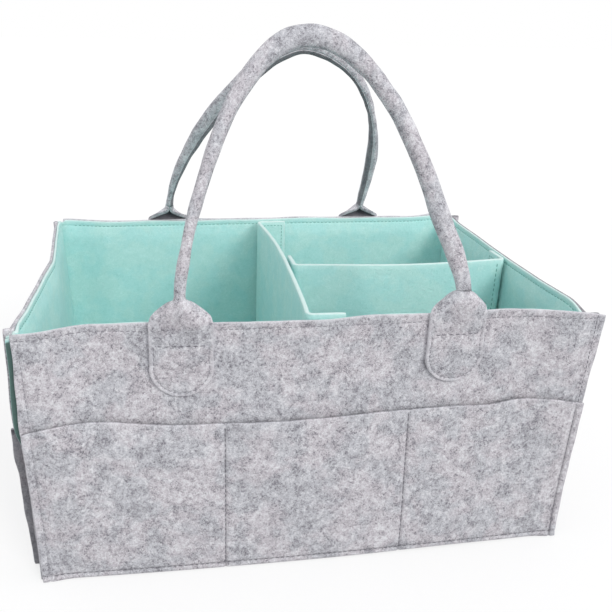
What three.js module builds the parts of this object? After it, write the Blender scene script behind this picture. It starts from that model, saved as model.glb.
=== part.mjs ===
// Felt nursery caddy: a two-layer felt tote with pockets all round, two lift-out dividers and
// two carry handles, each rolled from one strip of felt.
// Lengths are in millimetres and +Z is up. The origin lies on the table under the middle of the
// caddy, X runs along the long side and the front looks towards -Y.
import * as THREE from "three";

const { clamp, lerp, smoothstep, degToRad } = THREE.MathUtils;

// Tote walls
const rimLength = 380; // between the tips of the corner seams, at the rim
const footLength = 368; // the same on the table
const rimDepth = 262; // between the outer faces of the two long walls, at the corners of the rim
const footDepth = 256; // the same on the table
const wallHeight = 177;
const rimBow = 6.5; // how far a long rim is drawn in between its corners
const earLength = 48; // stretch over which a long rim flares out to its corner
const footBulge = 4; // how far a long wall stands out at the foot, half way along
const endRimBow = 1.5; // the same two for the end walls
const endFootBulge = 3;
const leftCrease = 4; // depth of the fold line pressed into each end wall at the rim
const rightCrease = 1.5;
const creasePlace = 8; // how far the fold line lies behind the middle
const creaseSpread = 110; // reach of the fold line's dip to either side

// Felt layers
const wallFelt = 3;
const liningFelt = 2.6;
const dividerFelt = 3;
const layerGap = 0.3; // clearance between two layers that lie against each other
const seamAllowance = 5.5; // how far a corner seam stands out past the end wall
const cornerBend = 6; // radius of the lining where an end wall turns into its corner seam
const tightestBend = 0.8;

// Outer pockets
const pocketDrop = 62; // from the rim down to the pockets' top edge
const pocketSeamPlace = 61.5; // from the middle to each upright seam that parts the long pockets
const pocketBulge = 8; // how far a long pocket stands off the wall at its mouth
const endPocketBulge = 11;

// Base
const seamRise = 3; // height of the turned-down border above the table
const riseRun = 16; // width of the border that climbs to it
const baseCorner = 5; // cut across each corner of the base

// Dividers
const centrePlace = -7; // X of the centre divider at its ends
const centreBow = 5; // how far its middle bows towards +X
const longPlace = -15; // Y of the long divider at its ends
const longBow = 5; // how far its middle bows towards the front
const tabLength = 25;
const tabBend = 4; // middle radius of the fold between a divider and its tab
const hookThickness = 1.5;
const hookWidth = 18;
const hookHeight = 60;
const hookDrop = 9; // from the rim down to the top of a hook strip
const hookMargin = 2; // bare felt left at the free edge of a tab

// Handles
const handleSpan = 178; // between the middles of a handle's two feet
const frontRise = 177; // from the hinge line up to the middle of each grip, along the handle
const backRise = 172;
const frontLean = degToRad(20); // how far each handle leans in over the caddy
const backLean = degToRad(29);
const frontSway = -4; // how far each grip leans towards +X
const backSway = 20;
const frontUprightShare = 0.1; // upright pull of each arch curve, of the arch's rise
const backUprightShare = 0.75;
const frontLevelShare = 0.64; // level pull of each arch curve, of half the span
const backLevelShare = 0.27;
const springRise = 15; // straight part of each leg above the hinge line
const leanRun = 12; // length over which a leg bends from the wall to its lean
const hingeRise = 1; // height of the hinge line above the rim
const hingeGap = 0.3; // slit at the hinge line
const inwardSwing = degToRad(23); // the foot is bevelled to swing this far over the rim
const patchWidth = 40;
const patchDrop = 48; // from the rim down to the lowest point of a sewn patch
const handleFelt = 3;
const neckWidth = 8; // the rolled strip just above its foot
const neckDepth = 8;
const gripWidth = 14.5; // the same at the top of the handle
const gripDepth = 9;
const rollStart = 1.5; // where the flat foot starts to roll up, above the hinge line
const neckRise = 15; // where it is rolled shut
const frontRollLateness = 2.5; // power by which a foot keeps its width and then draws in
const backRollLateness = 1.1;
const gripStart = 200; // where it would have its full width
const flatRoll = degToRad(1.5); // half angle that the felt wraps round at the foot
const shutRoll = degToRad(175); // and where it is rolled shut

// Steps of the meshes
const bendSteps = 3;
const earSteps = 4;
const rimSteps = 10;
const lowerRows = 5;
const upperRows = 3;
const endSteps = 5;
const pocketSteps = 8;
const baseSteps = 8;
const dividerSteps = 14;
const patchSteps = 10;
const stripSteps = 10;
const footSteps = 10;
const archSteps = 14;

const liningDepth = wallFelt + layerGap; // from an outer face in to the lining
const wallStack = liningDepth + liningFelt;
const pocketDepth = -layerGap - wallFelt; // a pocket panel's face lies outside the wall's
const pocketTop = wallHeight - pocketDrop;
const cornerRun = seamAllowance + cornerBend; // straight length of a long wall at each corner

// Evenly spaced values from first to last, both included
function spread(first, last, steps) {
  return Array.from({ length: steps + 1 }, (_, i) => lerp(first, last, i / steps));
}

// Wraps triangles that close a body in a geometry, turned so that its faces look outwards
function closedGeometry(points, triangles) {
  let volume = 0;
  for (const [a, b, c] of triangles) {
    volume += points[a].dot(new THREE.Vector3().crossVectors(points[b], points[c]));
  }
  const turned = triangles.flatMap(([a, b, c]) => (volume < 0 ? [a, c, b] : [a, b, c]));
  const geometry = new THREE.BufferGeometry().setFromPoints(points);
  geometry.setIndex(turned);
  geometry.computeVertexNormals();
  return geometry;
}

// A sheet of felt with its two faces and its four cut edges. Each row holds the points of the
// face and of the back across the sheet.
function feltSheet(rows) {
  const across = rows[0].face.length;
  const last = across - 1;
  const end = rows.length - 1;
  const points = rows.flatMap(({ face, back }) => [...face, ...back]);
  const at = (row, side, i) => (row * 2 + side) * across + i;
  const triangles = [];
  const quad = (a, b, c, d) => triangles.push([a, b, c], [a, c, d]);
  for (let row = 0; row < end; row++) {
    const next = row + 1;
    for (let i = 0; i < last; i++) {
      quad(at(row, 0, i), at(row, 0, i + 1), at(next, 0, i + 1), at(next, 0, i));
      quad(at(row, 1, i), at(next, 1, i), at(next, 1, i + 1), at(row, 1, i + 1));
    }
    quad(at(row, 0, 0), at(next, 0, 0), at(next, 1, 0), at(row, 1, 0));
    quad(at(row, 0, last), at(row, 1, last), at(next, 1, last), at(next, 0, last));
  }
  for (let i = 0; i < last; i++) {
    quad(at(0, 0, i), at(0, 1, i), at(0, 1, i + 1), at(0, 0, i + 1));
    quad(at(end, 0, i), at(end, 0, i + 1), at(end, 1, i + 1), at(end, 1, i));
  }
  return closedGeometry(points, triangles);
}

// A body lofted through closed rings, shut at each end by a fan round that end's middle point
function ringSolid(rings, firstMiddle, lastMiddle) {
  const round = rings[0].length;
  const points = [...rings.flat(), firstMiddle, lastMiddle];
  const at = (ring, i) => ring * round + (i % round);
  const lastRing = rings.length - 1;
  const triangles = [];
  for (let i = 0; i < round; i++) {
    for (let ring = 0; ring < lastRing; ring++) {
      triangles.push([at(ring, i), at(ring, i + 1), at(ring + 1, i + 1)]);
      triangles.push([at(ring, i), at(ring + 1, i + 1), at(ring + 1, i)]);
    }
    triangles.push([points.length - 2, at(0, i + 1), at(0, i)]);
    triangles.push([points.length - 1, at(lastRing, i), at(lastRing, i + 1)]);
  }
  return closedGeometry(points, triangles);
}

// The line at a distance to the left of a plan line, mitred at its corners
function offsetLine(line, distance) {
  return line.map((point, i) => {
    const before = line[Math.max(i - 1, 0)];
    const after = line[Math.min(i + 1, line.length - 1)];
    const into = point.clone().sub(before).normalize();
    const out = after.clone().sub(point).normalize();
    const along = into.add(out).normalize();
    const half = Math.max(Math.abs(along.dot(out.lengthSq() ? out : along)), Number.EPSILON);
    const left = new THREE.Vector2(-along.y, along.x);
    return point.clone().addScaledVector(left, distance / half);
  });
}

// Heights of the mesh rows up the walls: the lower ones end at the pockets' top edge
const lowerHeights = spread(0, pocketTop, lowerRows);
const wallHeights = [...lowerHeights, ...spread(pocketTop, wallHeight, upperRows).slice(1)];

// Half the length between the corner seams' tips
function halfLengthAt(z) {
  return lerp(footLength, rimLength, z / wallHeight) / 2;
}

// Half the depth between the long walls' outer faces at the corners
function halfDepthAt(z) {
  return lerp(footDepth, rimDepth, z / wallHeight) / 2;
}

// From the middle plane to the outer face of a long wall
function longWallReach(x, z) {
  const tip = halfLengthAt(z);
  const along = Math.abs(x);
  const drawnIn = rimBow * (1 - smoothstep(along, tip - earLength, tip - cornerRun));
  const standsOut = footBulge * (1 - (along / tip) ** 2);
  return halfDepthAt(z) + lerp(standsOut, -drawnIn, smoothstep(z, 0, wallHeight));
}

// From the middle plane to the outer face of an end wall
function endWallReach(y, z, crease) {
  const middling = 1 - (y / halfDepthAt(z)) ** 2;
  const dip = crease * Math.max(1 - Math.abs(y - creasePlace) / creaseSpread, 0);
  const bow = lerp(endFootBulge * middling, -endRimBow * middling - dip, z / wallHeight);
  return halfLengthAt(z) - seamAllowance + bow;
}

// How full a pocket is: share 0 to 1 runs across its mouth, and it is sewn shut at the foot
function pocketSwell(share, z) {
  const acrossMouth = 1 - Math.abs(2 * share - 1) ** 4;
  const upPocket = 1 - (1 - z / pocketTop) ** 2.5;
  return acrossMouth * upPocket;
}

// A layer of a long wall. Depth is measured inwards from the wall's outer face.
function longWallLayer(facing, heights, stationsAt, depthAt, thickness) {
  const line = (z, extra) =>
    stationsAt(z).map((x) => {
      const reach = longWallReach(x, z) - depthAt(x, z) - extra;
      return new THREE.Vector3(x, facing * reach, z);
    });
  return feltSheet(heights.map((z) => ({ face: line(z, 0), back: line(z, thickness) })));
}

function longWallStations(z) {
  const tip = halfLengthAt(z);
  const ear = [tip, ...spread(tip - cornerRun, tip - earLength, earSteps)];
  const middle = spread(earLength - tip, tip - earLength, rimSteps).slice(1, -1);
  return [...ear.map((x) => -x), ...middle, ...ear.toReversed()];
}

// X of the seams that part a long wall's pockets, from corner to corner
function pocketSeams(z) {
  const corner = halfLengthAt(z) - seamAllowance;
  return [-corner, -pocketSeamPlace, pocketSeamPlace, corner];
}

function longPocketStations(z) {
  const seams = pocketSeams(z);
  const pockets = seams.slice(1).map((seam, i) => spread(seams[i], seam, pocketSteps).slice(1));
  return [-halfLengthAt(z), seams[0], ...pockets.flat(), halfLengthAt(z)];
}

function longPocketDepth(x, z) {
  const seams = pocketSeams(z);
  const i = seams.findIndex((seam, k) => k && x <= seam && x >= seams[k - 1]);
  const share = i > 0 ? (x - seams[i - 1]) / (seams[i] - seams[i - 1]) : 0;
  return pocketDepth - pocketBulge * pocketSwell(share, z);
}

// Plan line of a layer of an end wall, with the seam flange that it turns out into at each
// corner. Depth is measured inwards from the end wall's outer face.
function endWallLine(side, z, crease, depth, fullness, steps) {
  const seamY = halfDepthAt(z) - 2 * wallStack - layerGap + depth;
  const bend = Math.max(depth + cornerBend - wallStack, tightestBend);
  const bendEnd = seamY - bend;
  const corner = (end) => {
    const centre = endWallReach(end * bendEnd, z, crease) - depth + bend;
    const turns = spread(Math.PI / 2, Math.PI, bendSteps).map((turn) => [
      centre + bend * Math.cos(turn),
      end * (bendEnd + bend * Math.sin(turn)),
    ]);
    return [[halfLengthAt(z), end * seamY], ...turns];
  };
  const stations = [
    ...spread(-bendEnd, creasePlace, steps).slice(1),
    ...spread(creasePlace, bendEnd, steps).slice(1, -1),
  ];
  const wall = stations.map((y) => {
    const swell = fullness ? fullness * pocketSwell((y + bendEnd) / (2 * bendEnd), z) : 0;
    return [endWallReach(y, z, crease) - depth + swell, y];
  });
  const line = [...corner(-1), ...wall, ...corner(1).toReversed()];
  return line.map(([x, y]) => new THREE.Vector3(side * x, y, z));
}

function endWallLayer(side, heights, crease, depth, thickness, fullness = 0) {
  const steps = fullness ? pocketSteps : endSteps;
  return feltSheet(
    heights.map((z) => ({
      face: endWallLine(side, z, crease, depth, fullness, steps),
      back: endWallLine(side, z, crease, depth + thickness, fullness, steps),
    })),
  );
}

// Height that the base's border climbs to, at a distance in from its edge
function borderRise(inset) {
  return seamRise * (1 - smoothstep(inset, 0, riseRun));
}

const baseHalfWidth = (x) => longWallReach(x, 0) - wallStack - layerGap;
const baseHalfLength = (y, crease) => endWallReach(y, 0, crease) - wallStack - layerGap;

// The base's outline at a distance in from its edge, with its corners cut across
function baseRing(inset, z) {
  const cut = inset + baseCorner;
  const farX = baseHalfLength(halfDepthAt(0), 0) - cut;
  const farY = baseHalfWidth(halfLengthAt(0)) - cut;
  const ends = [
    ...spread(-farX, farX, baseSteps).map((x) => [x, inset - baseHalfWidth(x)]),
    ...spread(-farY, farY, baseSteps).map((y) => [baseHalfLength(y, rightCrease) - inset, y]),
    ...spread(farX, -farX, baseSteps).map((x) => [x, baseHalfWidth(x) - inset]),
    ...spread(farY, -farY, baseSteps).map((y) => [inset - baseHalfLength(y, leftCrease), y]),
  ];
  return ends.map(([x, y]) => new THREE.Vector3(x, y, z));
}

// The outer base, flat on the table, with a border that climbs and turns down along the walls
function outerBase() {
  const insets = spread(riseRun, wallFelt, bendSteps);
  const top = [...insets, 0].map((inset) => baseRing(inset, wallFelt + borderRise(inset)));
  const hem = [baseRing(0, 0), baseRing(wallFelt, 0)];
  const under = insets.toReversed().map((inset) => baseRing(inset, borderRise(inset)));
  const middle = new THREE.Vector3();
  return ringSolid([...top, ...hem, ...under], new THREE.Vector3(0, 0, wallFelt), middle);
}

function liningBase() {
  const insets = [...spread(riseRun, wallFelt, bendSteps), 0];
  const top = insets.map((inset) => baseRing(inset, wallStack + borderRise(inset)));
  const under = insets.toReversed().map((inset) => baseRing(inset, liningDepth + borderRise(inset)));
  const topMiddle = new THREE.Vector3(0, 0, wallStack);
  return ringSolid([...top, ...under], topMiddle, new THREE.Vector3(0, 0, liningDepth));
}

// Height at which a divider stands on the base lining
function standingHeight({ x, y }) {
  const crease = x < 0 ? leftCrease : rightCrease;
  const inset = Math.min(baseHalfLength(y, crease) - Math.abs(x), baseHalfWidth(x) - Math.abs(y));
  return wallStack + borderRise(Math.max(inset, 0)) + layerGap;
}

// An upright felt strip along a plan line that may change with height
function uprightStrip(lineAt, thickness, bottomAt, topZ) {
  const edge = (line, distance, heightAt) =>
    offsetLine(line, distance).map((p) => new THREE.Vector3(p.x, p.y, heightAt(p)));
  const row = (line, heightAt) => ({
    face: edge(line, thickness / 2, heightAt),
    back: edge(line, -thickness / 2, heightAt),
  });
  const footZ = wallStack + seamRise + layerGap;
  return feltSheet([row(lineAt(footZ), bottomAt), row(lineAt(topZ), () => topZ)]);
}

// A quarter turn between two plan directions, as points round its centre
function quarterTurn(centreX, centreY, radius, from, to) {
  return spread(from, to, bendSteps).map(
    (turn) => new THREE.Vector2(centreX + radius * Math.cos(turn), centreY + radius * Math.sin(turn)),
  );
}

// Distance from a wall to the middle of a tab that is held to it by a hook strip
const tabStandoff = layerGap + hookThickness + layerGap + dividerFelt / 2;
const hookStandoff = layerGap + hookThickness / 2;
const rimInnerReach = longWallReach(centrePlace, wallHeight) - wallStack;
const tabY = rimInnerReach - tabStandoff;

// X of the middle of the centre divider's felt
function centreDividerX(y) {
  return centrePlace + centreBow * (1 - (y / (tabY - tabBend)) ** 2);
}

function centreDividerLine() {
  const foldY = tabY - tabBend;
  const foldX = centrePlace + tabBend;
  const panel = spread(-foldY, foldY, dividerSteps).slice(1, -1);
  return [
    new THREE.Vector2(centrePlace + tabLength, -tabY),
    ...quarterTurn(foldX, -foldY, tabBend, -Math.PI / 2, -Math.PI),
    ...panel.map((y) => new THREE.Vector2(centreDividerX(y), y)),
    ...quarterTurn(foldX, foldY, tabBend, Math.PI, Math.PI / 2),
    new THREE.Vector2(centrePlace + tabLength, tabY),
  ];
}

const centreFaceX = centrePlace + centreBow + dividerFelt / 2;
const longNearX = centreFaceX + tabStandoff;
const endInnerReach = (z) => endWallReach(creasePlace, z, rightCrease) - wallStack;
const longFarX = (z) => endInnerReach(z) - tabStandoff;

function longDividerLine(z) {
  const farX = longFarX(z);
  const foldY = longPlace + tabBend;
  const panel = spread(0, 1, dividerSteps).slice(1, -1);
  return [
    new THREE.Vector2(longNearX, longPlace + tabLength),
    ...quarterTurn(longNearX + tabBend, foldY, tabBend, Math.PI, 1.5 * Math.PI),
    ...panel.map((share) => {
      const x = lerp(longNearX + tabBend, farX - tabBend, share);
      return new THREE.Vector2(x, longPlace - longBow * (1 - (2 * share - 1) ** 2));
    }),
    ...quarterTurn(farX - tabBend, foldY, tabBend, -Math.PI / 2, 0),
    new THREE.Vector2(farX, longPlace + tabLength),
  ];
}

// A strip of hook tape along a plan line, between a divider's tab and the felt that it grips
function hookStrip(lineAt) {
  const top = wallHeight - hookDrop;
  const edge = (z, distance) =>
    offsetLine(lineAt(z), distance).map((p) => new THREE.Vector3(p.x, p.y, z));
  return feltSheet(
    [top - hookHeight, top].map((z) => ({
      face: edge(z, hookThickness / 2),
      back: edge(z, -hookThickness / 2),
    })),
  );
}

function centreHook(end) {
  const y = end * (rimInnerReach - hookStandoff);
  const farX = centrePlace + tabLength - hookMargin;
  return hookStrip(() => [new THREE.Vector2(farX - hookWidth, y), new THREE.Vector2(farX, y)]);
}

function longHook(xAt) {
  const farY = longPlace + tabLength - hookMargin;
  return hookStrip((z) => [
    new THREE.Vector2(xAt(z), farY - hookWidth),
    new THREE.Vector2(xAt(z), farY),
  ]);
}

// A sewn patch: the flat end of a handle strip, square at the top and half round below
function sewnPatch(facing, centreX) {
  const half = patchWidth / 2;
  const top = wallHeight + hingeRise - hingeGap / 2;
  const roundZ = wallHeight - patchDrop + half;
  const line = (turn, depth) => {
    const x = centreX + half * Math.sin(turn);
    const low = roundZ - half * Math.cos(turn);
    return spread(low, top, bendSteps).map(
      (z) => new THREE.Vector3(x, facing * (longWallReach(x, z) - depth), z),
    );
  };
  return feltSheet(
    spread(-Math.PI / 2, Math.PI / 2, patchSteps).map((turn) => ({
      face: line(turn, -layerGap - handleFelt),
      back: line(turn, -layerGap),
    })),
  );
}

// The middle line across a handle strip, as its place along the width and outwards. It lies flat
// at the foot and wraps round as it rolls up, until its two raw edges meet on the inner side.
function stripLine(rise, rollLateness) {
  const rollShare = clamp((rise - rollStart) / (neckRise - rollStart), 0, 1);
  const rolled = rollShare ** rollLateness;
  const grown = smoothstep(rise, neckRise, gripStart);
  const halfWidth = (lerp(neckWidth, gripWidth, grown) - handleFelt) / 2;
  const halfDepth = (lerp(neckDepth, gripDepth, grown) - handleFelt) / 2;
  const wrap = lerp(flatRoll, shutRoll, rolled);
  const flatRadius = patchWidth / 2 / flatRoll;
  const shutRadius = Math.sqrt(halfWidth * halfDepth);
  const stripWidth = lerp(flatRadius * flatRoll, shutRadius * shutRoll, rolled);
  const radius = stripWidth / wrap;
  const across = radius * lerp(1, halfWidth / shutRadius, rolled);
  const deep = radius * lerp(1, halfDepth / shutRadius, rolled);
  const middle = (deep * (1 + Math.cos(wrap))) / 2;
  return spread(-wrap, wrap, stripSteps).map(
    (turn) => new THREE.Vector2(across * Math.sin(turn), deep * Math.cos(turn) - middle),
  );
}

// Where a handle's middle line goes, as its place across the wall and its rise along the handle
function handleStations({ rise: topRise, uprightShare, levelShare }) {
  const half = handleSpan / 2;
  const arch = new THREE.CubicBezierCurve(
    new THREE.Vector2(-half, springRise),
    new THREE.Vector2(-half, lerp(springRise, topRise, uprightShare)),
    new THREE.Vector2(-half * levelShare, topRise),
    new THREE.Vector2(0, topRise),
  );
  const foot = spread(hingeGap / 2, springRise, footSteps)
    .slice(0, -1)
    .map((rise) => new THREE.Vector2(-half, rise));
  const rising = [...foot, ...arch.getSpacedPoints(archSteps)];
  const falling = rising.toReversed().map(({ x, y }) => new THREE.Vector2(-x, y));
  return [...rising, ...falling.slice(1)];
}

// A handle from its left foot over the grip to its right foot, on the front or back wall
function rolledHandle(facing, handle) {
  const { rise: topRise, lean, sway, rollLateness } = handle;
  const hingeZ = wallHeight + hingeRise;
  const footY = longWallReach(handleSpan / 2, wallHeight) + layerGap + handleFelt / 2;
  const leaned = (rise) => rise - leanRun * (1 - Math.exp(-rise / leanRun));
  const place = ({ x, y: rise }) =>
    new THREE.Vector3(
      x + (sway * leaned(rise)) / leaned(topRise),
      facing * (footY - Math.sin(lean) * leaned(rise)),
      hingeZ + rise - (1 - Math.cos(lean)) * leaned(rise),
    );
  const stations = handleStations(handle);
  const centres = stations.map(place);
  const last = centres.length - 1;
  const rows = centres.map((centre, i) => {
    const rise = stations[i].y;
    const tilt = lean * (1 - Math.exp(-rise / leanRun));
    const outward = new THREE.Vector3(0, facing * Math.cos(tilt), Math.sin(tilt));
    const along = centres[Math.min(i + 1, last)].clone().sub(centres[Math.max(i - 1, 0)]);
    const width = new THREE.Vector3().crossVectors(outward, along).normalize();
    const line = stripLine(rise, rollLateness);
    const onHandle = (p, lift) =>
      centre.clone().addScaledVector(width, p.x).addScaledVector(outward, p.y).add(lift);
    const atFoot = i === 0 || i === last;
    const bevel = new THREE.Vector3(0, 0, atFoot ? handleFelt * Math.tan(inwardSwing) : 0);
    const face = offsetLine(line, handleFelt / 2);
    const back = offsetLine(line, -handleFelt / 2);
    return {
      face: face.map((p) => onHandle(p, new THREE.Vector3())),
      back: back.map((p) => onHandle(p, bevel)),
    };
  });
  return feltSheet(rows);
}

const frontHandle = {
  rise: frontRise,
  lean: frontLean,
  sway: frontSway,
  uprightShare: frontUprightShare,
  levelShare: frontLevelShare,
  rollLateness: frontRollLateness,
};
const backHandle = {
  rise: backRise,
  lean: backLean,
  sway: backSway,
  uprightShare: backUprightShare,
  levelShare: backLevelShare,
  rollLateness: backRollLateness,
};

const greyFelt = new THREE.MeshStandardMaterial({ color: 0xb9b9bd, roughness: 0.95, metalness: 0 });
const mintFelt = new THREE.MeshStandardMaterial({ color: 0x8fd3c2, roughness: 0.95, metalness: 0 });
const hookTape = new THREE.MeshStandardMaterial({ color: 0xa6dccb, roughness: 0.8, metalness: 0 });

function named(name, geometry, material) {
  const mesh = new THREE.Mesh(geometry, material);
  mesh.name = name;
  return mesh;
}

function grouped(...meshes) {
  return new THREE.Group().add(...meshes);
}

const wallDepth = () => 0;
const innerDepth = () => liningDepth;

function longWall(name, facing) {
  const patch = (side) => sewnPatch(facing, (side * handleSpan) / 2);
  const outer = longWallLayer(facing, wallHeights, longWallStations, wallDepth, wallFelt);
  const lining = longWallLayer(facing, wallHeights, longWallStations, innerDepth, liningFelt);
  const pockets = longWallLayer(facing, lowerHeights, longPocketStations, longPocketDepth, wallFelt);
  return grouped(
    named(`outer_${name}_wall`, outer, greyFelt),
    named(`lining_${name}_wall`, lining, mintFelt),
    named(`${name}_pocket_panel`, pockets, greyFelt),
    named(`${name}_left_handle_patch`, patch(-1), greyFelt),
    named(`${name}_right_handle_patch`, patch(1), greyFelt),
  );
}

function endWall(name, side, crease) {
  const outer = endWallLayer(side, wallHeights, crease, 0, wallFelt);
  const lining = endWallLayer(side, wallHeights, crease, liningDepth, liningFelt);
  const pocket = endWallLayer(side, lowerHeights, crease, pocketDepth, wallFelt, endPocketBulge);
  return grouped(
    named(`outer_${name}_end`, outer, greyFelt),
    named(`lining_${name}_end`, lining, mintFelt),
    named(`${name}_end_pocket_panel`, pocket, greyFelt),
  );
}

function base() {
  return grouped(
    named("outer_base", outerBase(), greyFelt),
    named("lining_base", liningBase(), mintFelt),
  );
}

function centreDivider() {
  const panel = uprightStrip(centreDividerLine, dividerFelt, standingHeight, wallHeight);
  return grouped(
    named("centre_divider_panel", panel, mintFelt),
    named("centre_front_hook_strip", centreHook(-1), hookTape),
    named("centre_back_hook_strip", centreHook(1), hookTape),
  );
}

function longDivider() {
  const panel = uprightStrip(longDividerLine, dividerFelt, standingHeight, wallHeight);
  const nearHook = longHook(() => centreFaceX + hookStandoff);
  const farHook = longHook((z) => endInnerReach(z) - hookStandoff);
  return grouped(
    named("long_divider_panel", panel, mintFelt),
    named("long_left_hook_strip", nearHook, hookTape),
    named("long_right_hook_strip", farHook, hookTape),
  );
}

const caddy = new THREE.Group();
caddy.name = "felt_caddy";
caddy.add(
  longWall("front", -1),
  longWall("back", 1),
  endWall("left", -1, leftCrease),
  endWall("right", 1, rightCrease),
  base(),
  centreDivider(),
  longDivider(),
  named("front_handle_grip", rolledHandle(-1, frontHandle), greyFelt),
  named("back_handle_grip", rolledHandle(1, backHandle), greyFelt),
);

export default caddy;
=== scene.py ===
"""Felt storage caddy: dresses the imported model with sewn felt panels, rolled handles and stitching.

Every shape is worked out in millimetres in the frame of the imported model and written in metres.
"""

import math

import bpy
import numpy as np
from mathutils import Matrix, Vector


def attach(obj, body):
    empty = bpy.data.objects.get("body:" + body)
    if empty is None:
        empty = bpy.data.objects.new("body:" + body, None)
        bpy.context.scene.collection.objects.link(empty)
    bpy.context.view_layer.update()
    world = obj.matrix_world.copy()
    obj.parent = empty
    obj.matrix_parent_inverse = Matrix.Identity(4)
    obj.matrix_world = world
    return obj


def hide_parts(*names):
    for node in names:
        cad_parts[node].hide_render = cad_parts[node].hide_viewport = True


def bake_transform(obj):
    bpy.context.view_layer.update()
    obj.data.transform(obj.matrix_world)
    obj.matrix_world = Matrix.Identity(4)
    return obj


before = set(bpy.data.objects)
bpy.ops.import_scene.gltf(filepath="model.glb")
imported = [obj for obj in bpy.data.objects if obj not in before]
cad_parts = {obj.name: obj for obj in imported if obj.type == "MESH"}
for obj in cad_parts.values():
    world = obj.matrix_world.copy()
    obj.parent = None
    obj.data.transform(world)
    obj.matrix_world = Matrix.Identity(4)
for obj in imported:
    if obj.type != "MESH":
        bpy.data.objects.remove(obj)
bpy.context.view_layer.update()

MM = 0.001

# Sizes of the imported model
RIM_LENGTH, FOOT_LENGTH = 380.0, 368.0
RIM_DEPTH, FOOT_DEPTH = 262.0, 256.0
WALL_HEIGHT = 177.0
RIM_BOW, EAR_LENGTH, FOOT_BULGE = 6.5, 48.0, 4.0
END_RIM_BOW, END_FOOT_BULGE = 1.5, 3.0
CREASE = {-1: 4.0, 1: 1.5}
CREASE_PLACE, CREASE_SPREAD = 8.0, 110.0
WALL_FELT, LINING_FELT, DIVIDER_FELT = 3.0, 2.6, 3.0
GAP = 0.3
SEAM_ALLOWANCE, CORNER_BEND = 5.5, 6.0
LINING_DEPTH = WALL_FELT + GAP
STACK = LINING_DEPTH + LINING_FELT
POCKET_DEPTH = -GAP - WALL_FELT
POCKET_SEAM = 61.5
SEAM_RISE, RISE_RUN = 3.0, 16.0
CENTRE_PLACE, CENTRE_BOW = -7.0, 5.0
LONG_PLACE, LONG_BOW = -15.0, 5.0
TAB_LENGTH, TAB_BEND = 25.0, 4.0
HOOK_THICKNESS, HOOK_WIDTH, HOOK_HEIGHT, HOOK_DROP, HOOK_MARGIN = 1.5, 18.0, 60.0, 9.0, 2.0
HANDLE_SPAN, SPRING_RISE, LEAN_RUN = 178.0, 15.0, 12.0
HINGE_Z = WALL_HEIGHT + 1.0
PATCH_WIDTH, PATCH_DROP, HANDLE_FELT = 40.0, 48.0, 3.0

# Details that only the looks have
CUT_ROUND = 0.8  # how far a cut edge rounds out
CUT_POWER = 0.6  # shape of its section, from 0 for a box to 1 for a half round
RIM_TONE = 0.35  # share of a cut edge's tone that the faces have along it
PATCH_HALF = PATCH_WIDTH / 2 - CUT_ROUND
CORNER_SEAM = 6.2  # from the tip of a corner flange in to its line of stitches
RIM_STITCH = 4.3  # from the rim down to its line of stitches
FOOT_SEAM = 3.4  # height of the bottom seam
LOW_EDGE = 0.9  # height of the lower edge of the ends' felt
END_POCKET_TOP = 112.0  # height of an end pocket's top edge, in its middle
FLANGE_PLACES = 4  # places of an end wall's plan line on each of its flanges
BASE_CUT = 0.8  # by which the base's corners are cut off
BASE_TURN = 24.0  # from the walls' corner tips in to where the base's width is measured
LINING_DROP = 0.8  # by which the lining ends lower than the grey felt
TIP_DROP = 3  # how many times that much lower still it ends at the corners' tips
RIM_PRESS = 0.3  # depth pressed in by the rim's stitches
BACK_TRIM = 2.5  # by which the corner flanges at the back are shorter than packed


def lerp(a, b, t):
    return a + (b - a) * t


def smooth(x, low, high):
    t = np.clip((np.asarray(x, float) - low) / (high - low), 0, 1)
    return t * t * (3 - 2 * t)


def bell(x, middle, spread):
    return np.exp(-(((x - middle) / spread) ** 2))


def unit(v):
    return v / np.maximum(np.linalg.norm(v, axis=-1, keepdims=True), 1e-9)


def stacked(*parts):
    """Points from their coordinates, each an array or one number."""
    return np.stack(np.broadcast_arrays(*parts), -1)


def run_along(line):
    """How far along a line each of its points lies."""
    return np.concatenate([[0], np.cumsum(np.linalg.norm(np.diff(line, axis=0), axis=1))])


def eased(x, places, values, reach=6.0):
    """A curve through a few places, rounded off over that reach."""
    return np.mean([np.interp(x + k * reach, places, values) for k in (-1, -0.5, 0, 0.5, 1)], axis=0)


def ripple(points, size, seed):
    """Smooth noise of about unit height with humps of about that size, the same on every run."""
    rng = np.random.default_rng(seed)
    total = np.zeros(points.shape[:-1])
    for _ in range(9):
        direction = rng.normal(size=3)
        direction /= np.linalg.norm(direction)
        pace = 2 * math.pi / (size * rng.uniform(0.7, 1.4))
        total = total + np.sin(points @ direction * pace + rng.uniform(0, 2 * math.pi))
    return total / 3


def half_length(z):
    return lerp(FOOT_LENGTH, RIM_LENGTH, z / WALL_HEIGHT) / 2


def half_depth(z):
    return lerp(FOOT_DEPTH, RIM_DEPTH, z / WALL_HEIGHT) / 2


def long_reach(x, z):
    """From the middle plane to the outer face of a long wall, as packed."""
    tip = half_length(z)
    along = np.abs(x)
    corner_run = SEAM_ALLOWANCE + CORNER_BEND
    t = np.clip((along - (tip - EAR_LENGTH)) / (EAR_LENGTH - corner_run), 0, 1)
    drawn_in = RIM_BOW * (1 - t * t * (3 - 2 * t))
    stands_out = FOOT_BULGE * (1 - (along / tip) ** 2)
    return half_depth(z) + lerp(stands_out, -drawn_in, smooth(z, 0, WALL_HEIGHT))


def end_reach(y, z, side):
    """From the middle plane to the outer face of an end wall, as packed."""
    middling = 1 - (y / half_depth(z)) ** 2
    dip = CREASE[side] * np.maximum(1 - np.abs(y - CREASE_PLACE) / CREASE_SPREAD, 0)
    bow = lerp(END_FOOT_BULGE * middling, -END_RIM_BOW * middling - dip, z / WALL_HEIGHT)
    return half_length(z) - SEAM_ALLOWANCE + bow


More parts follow.
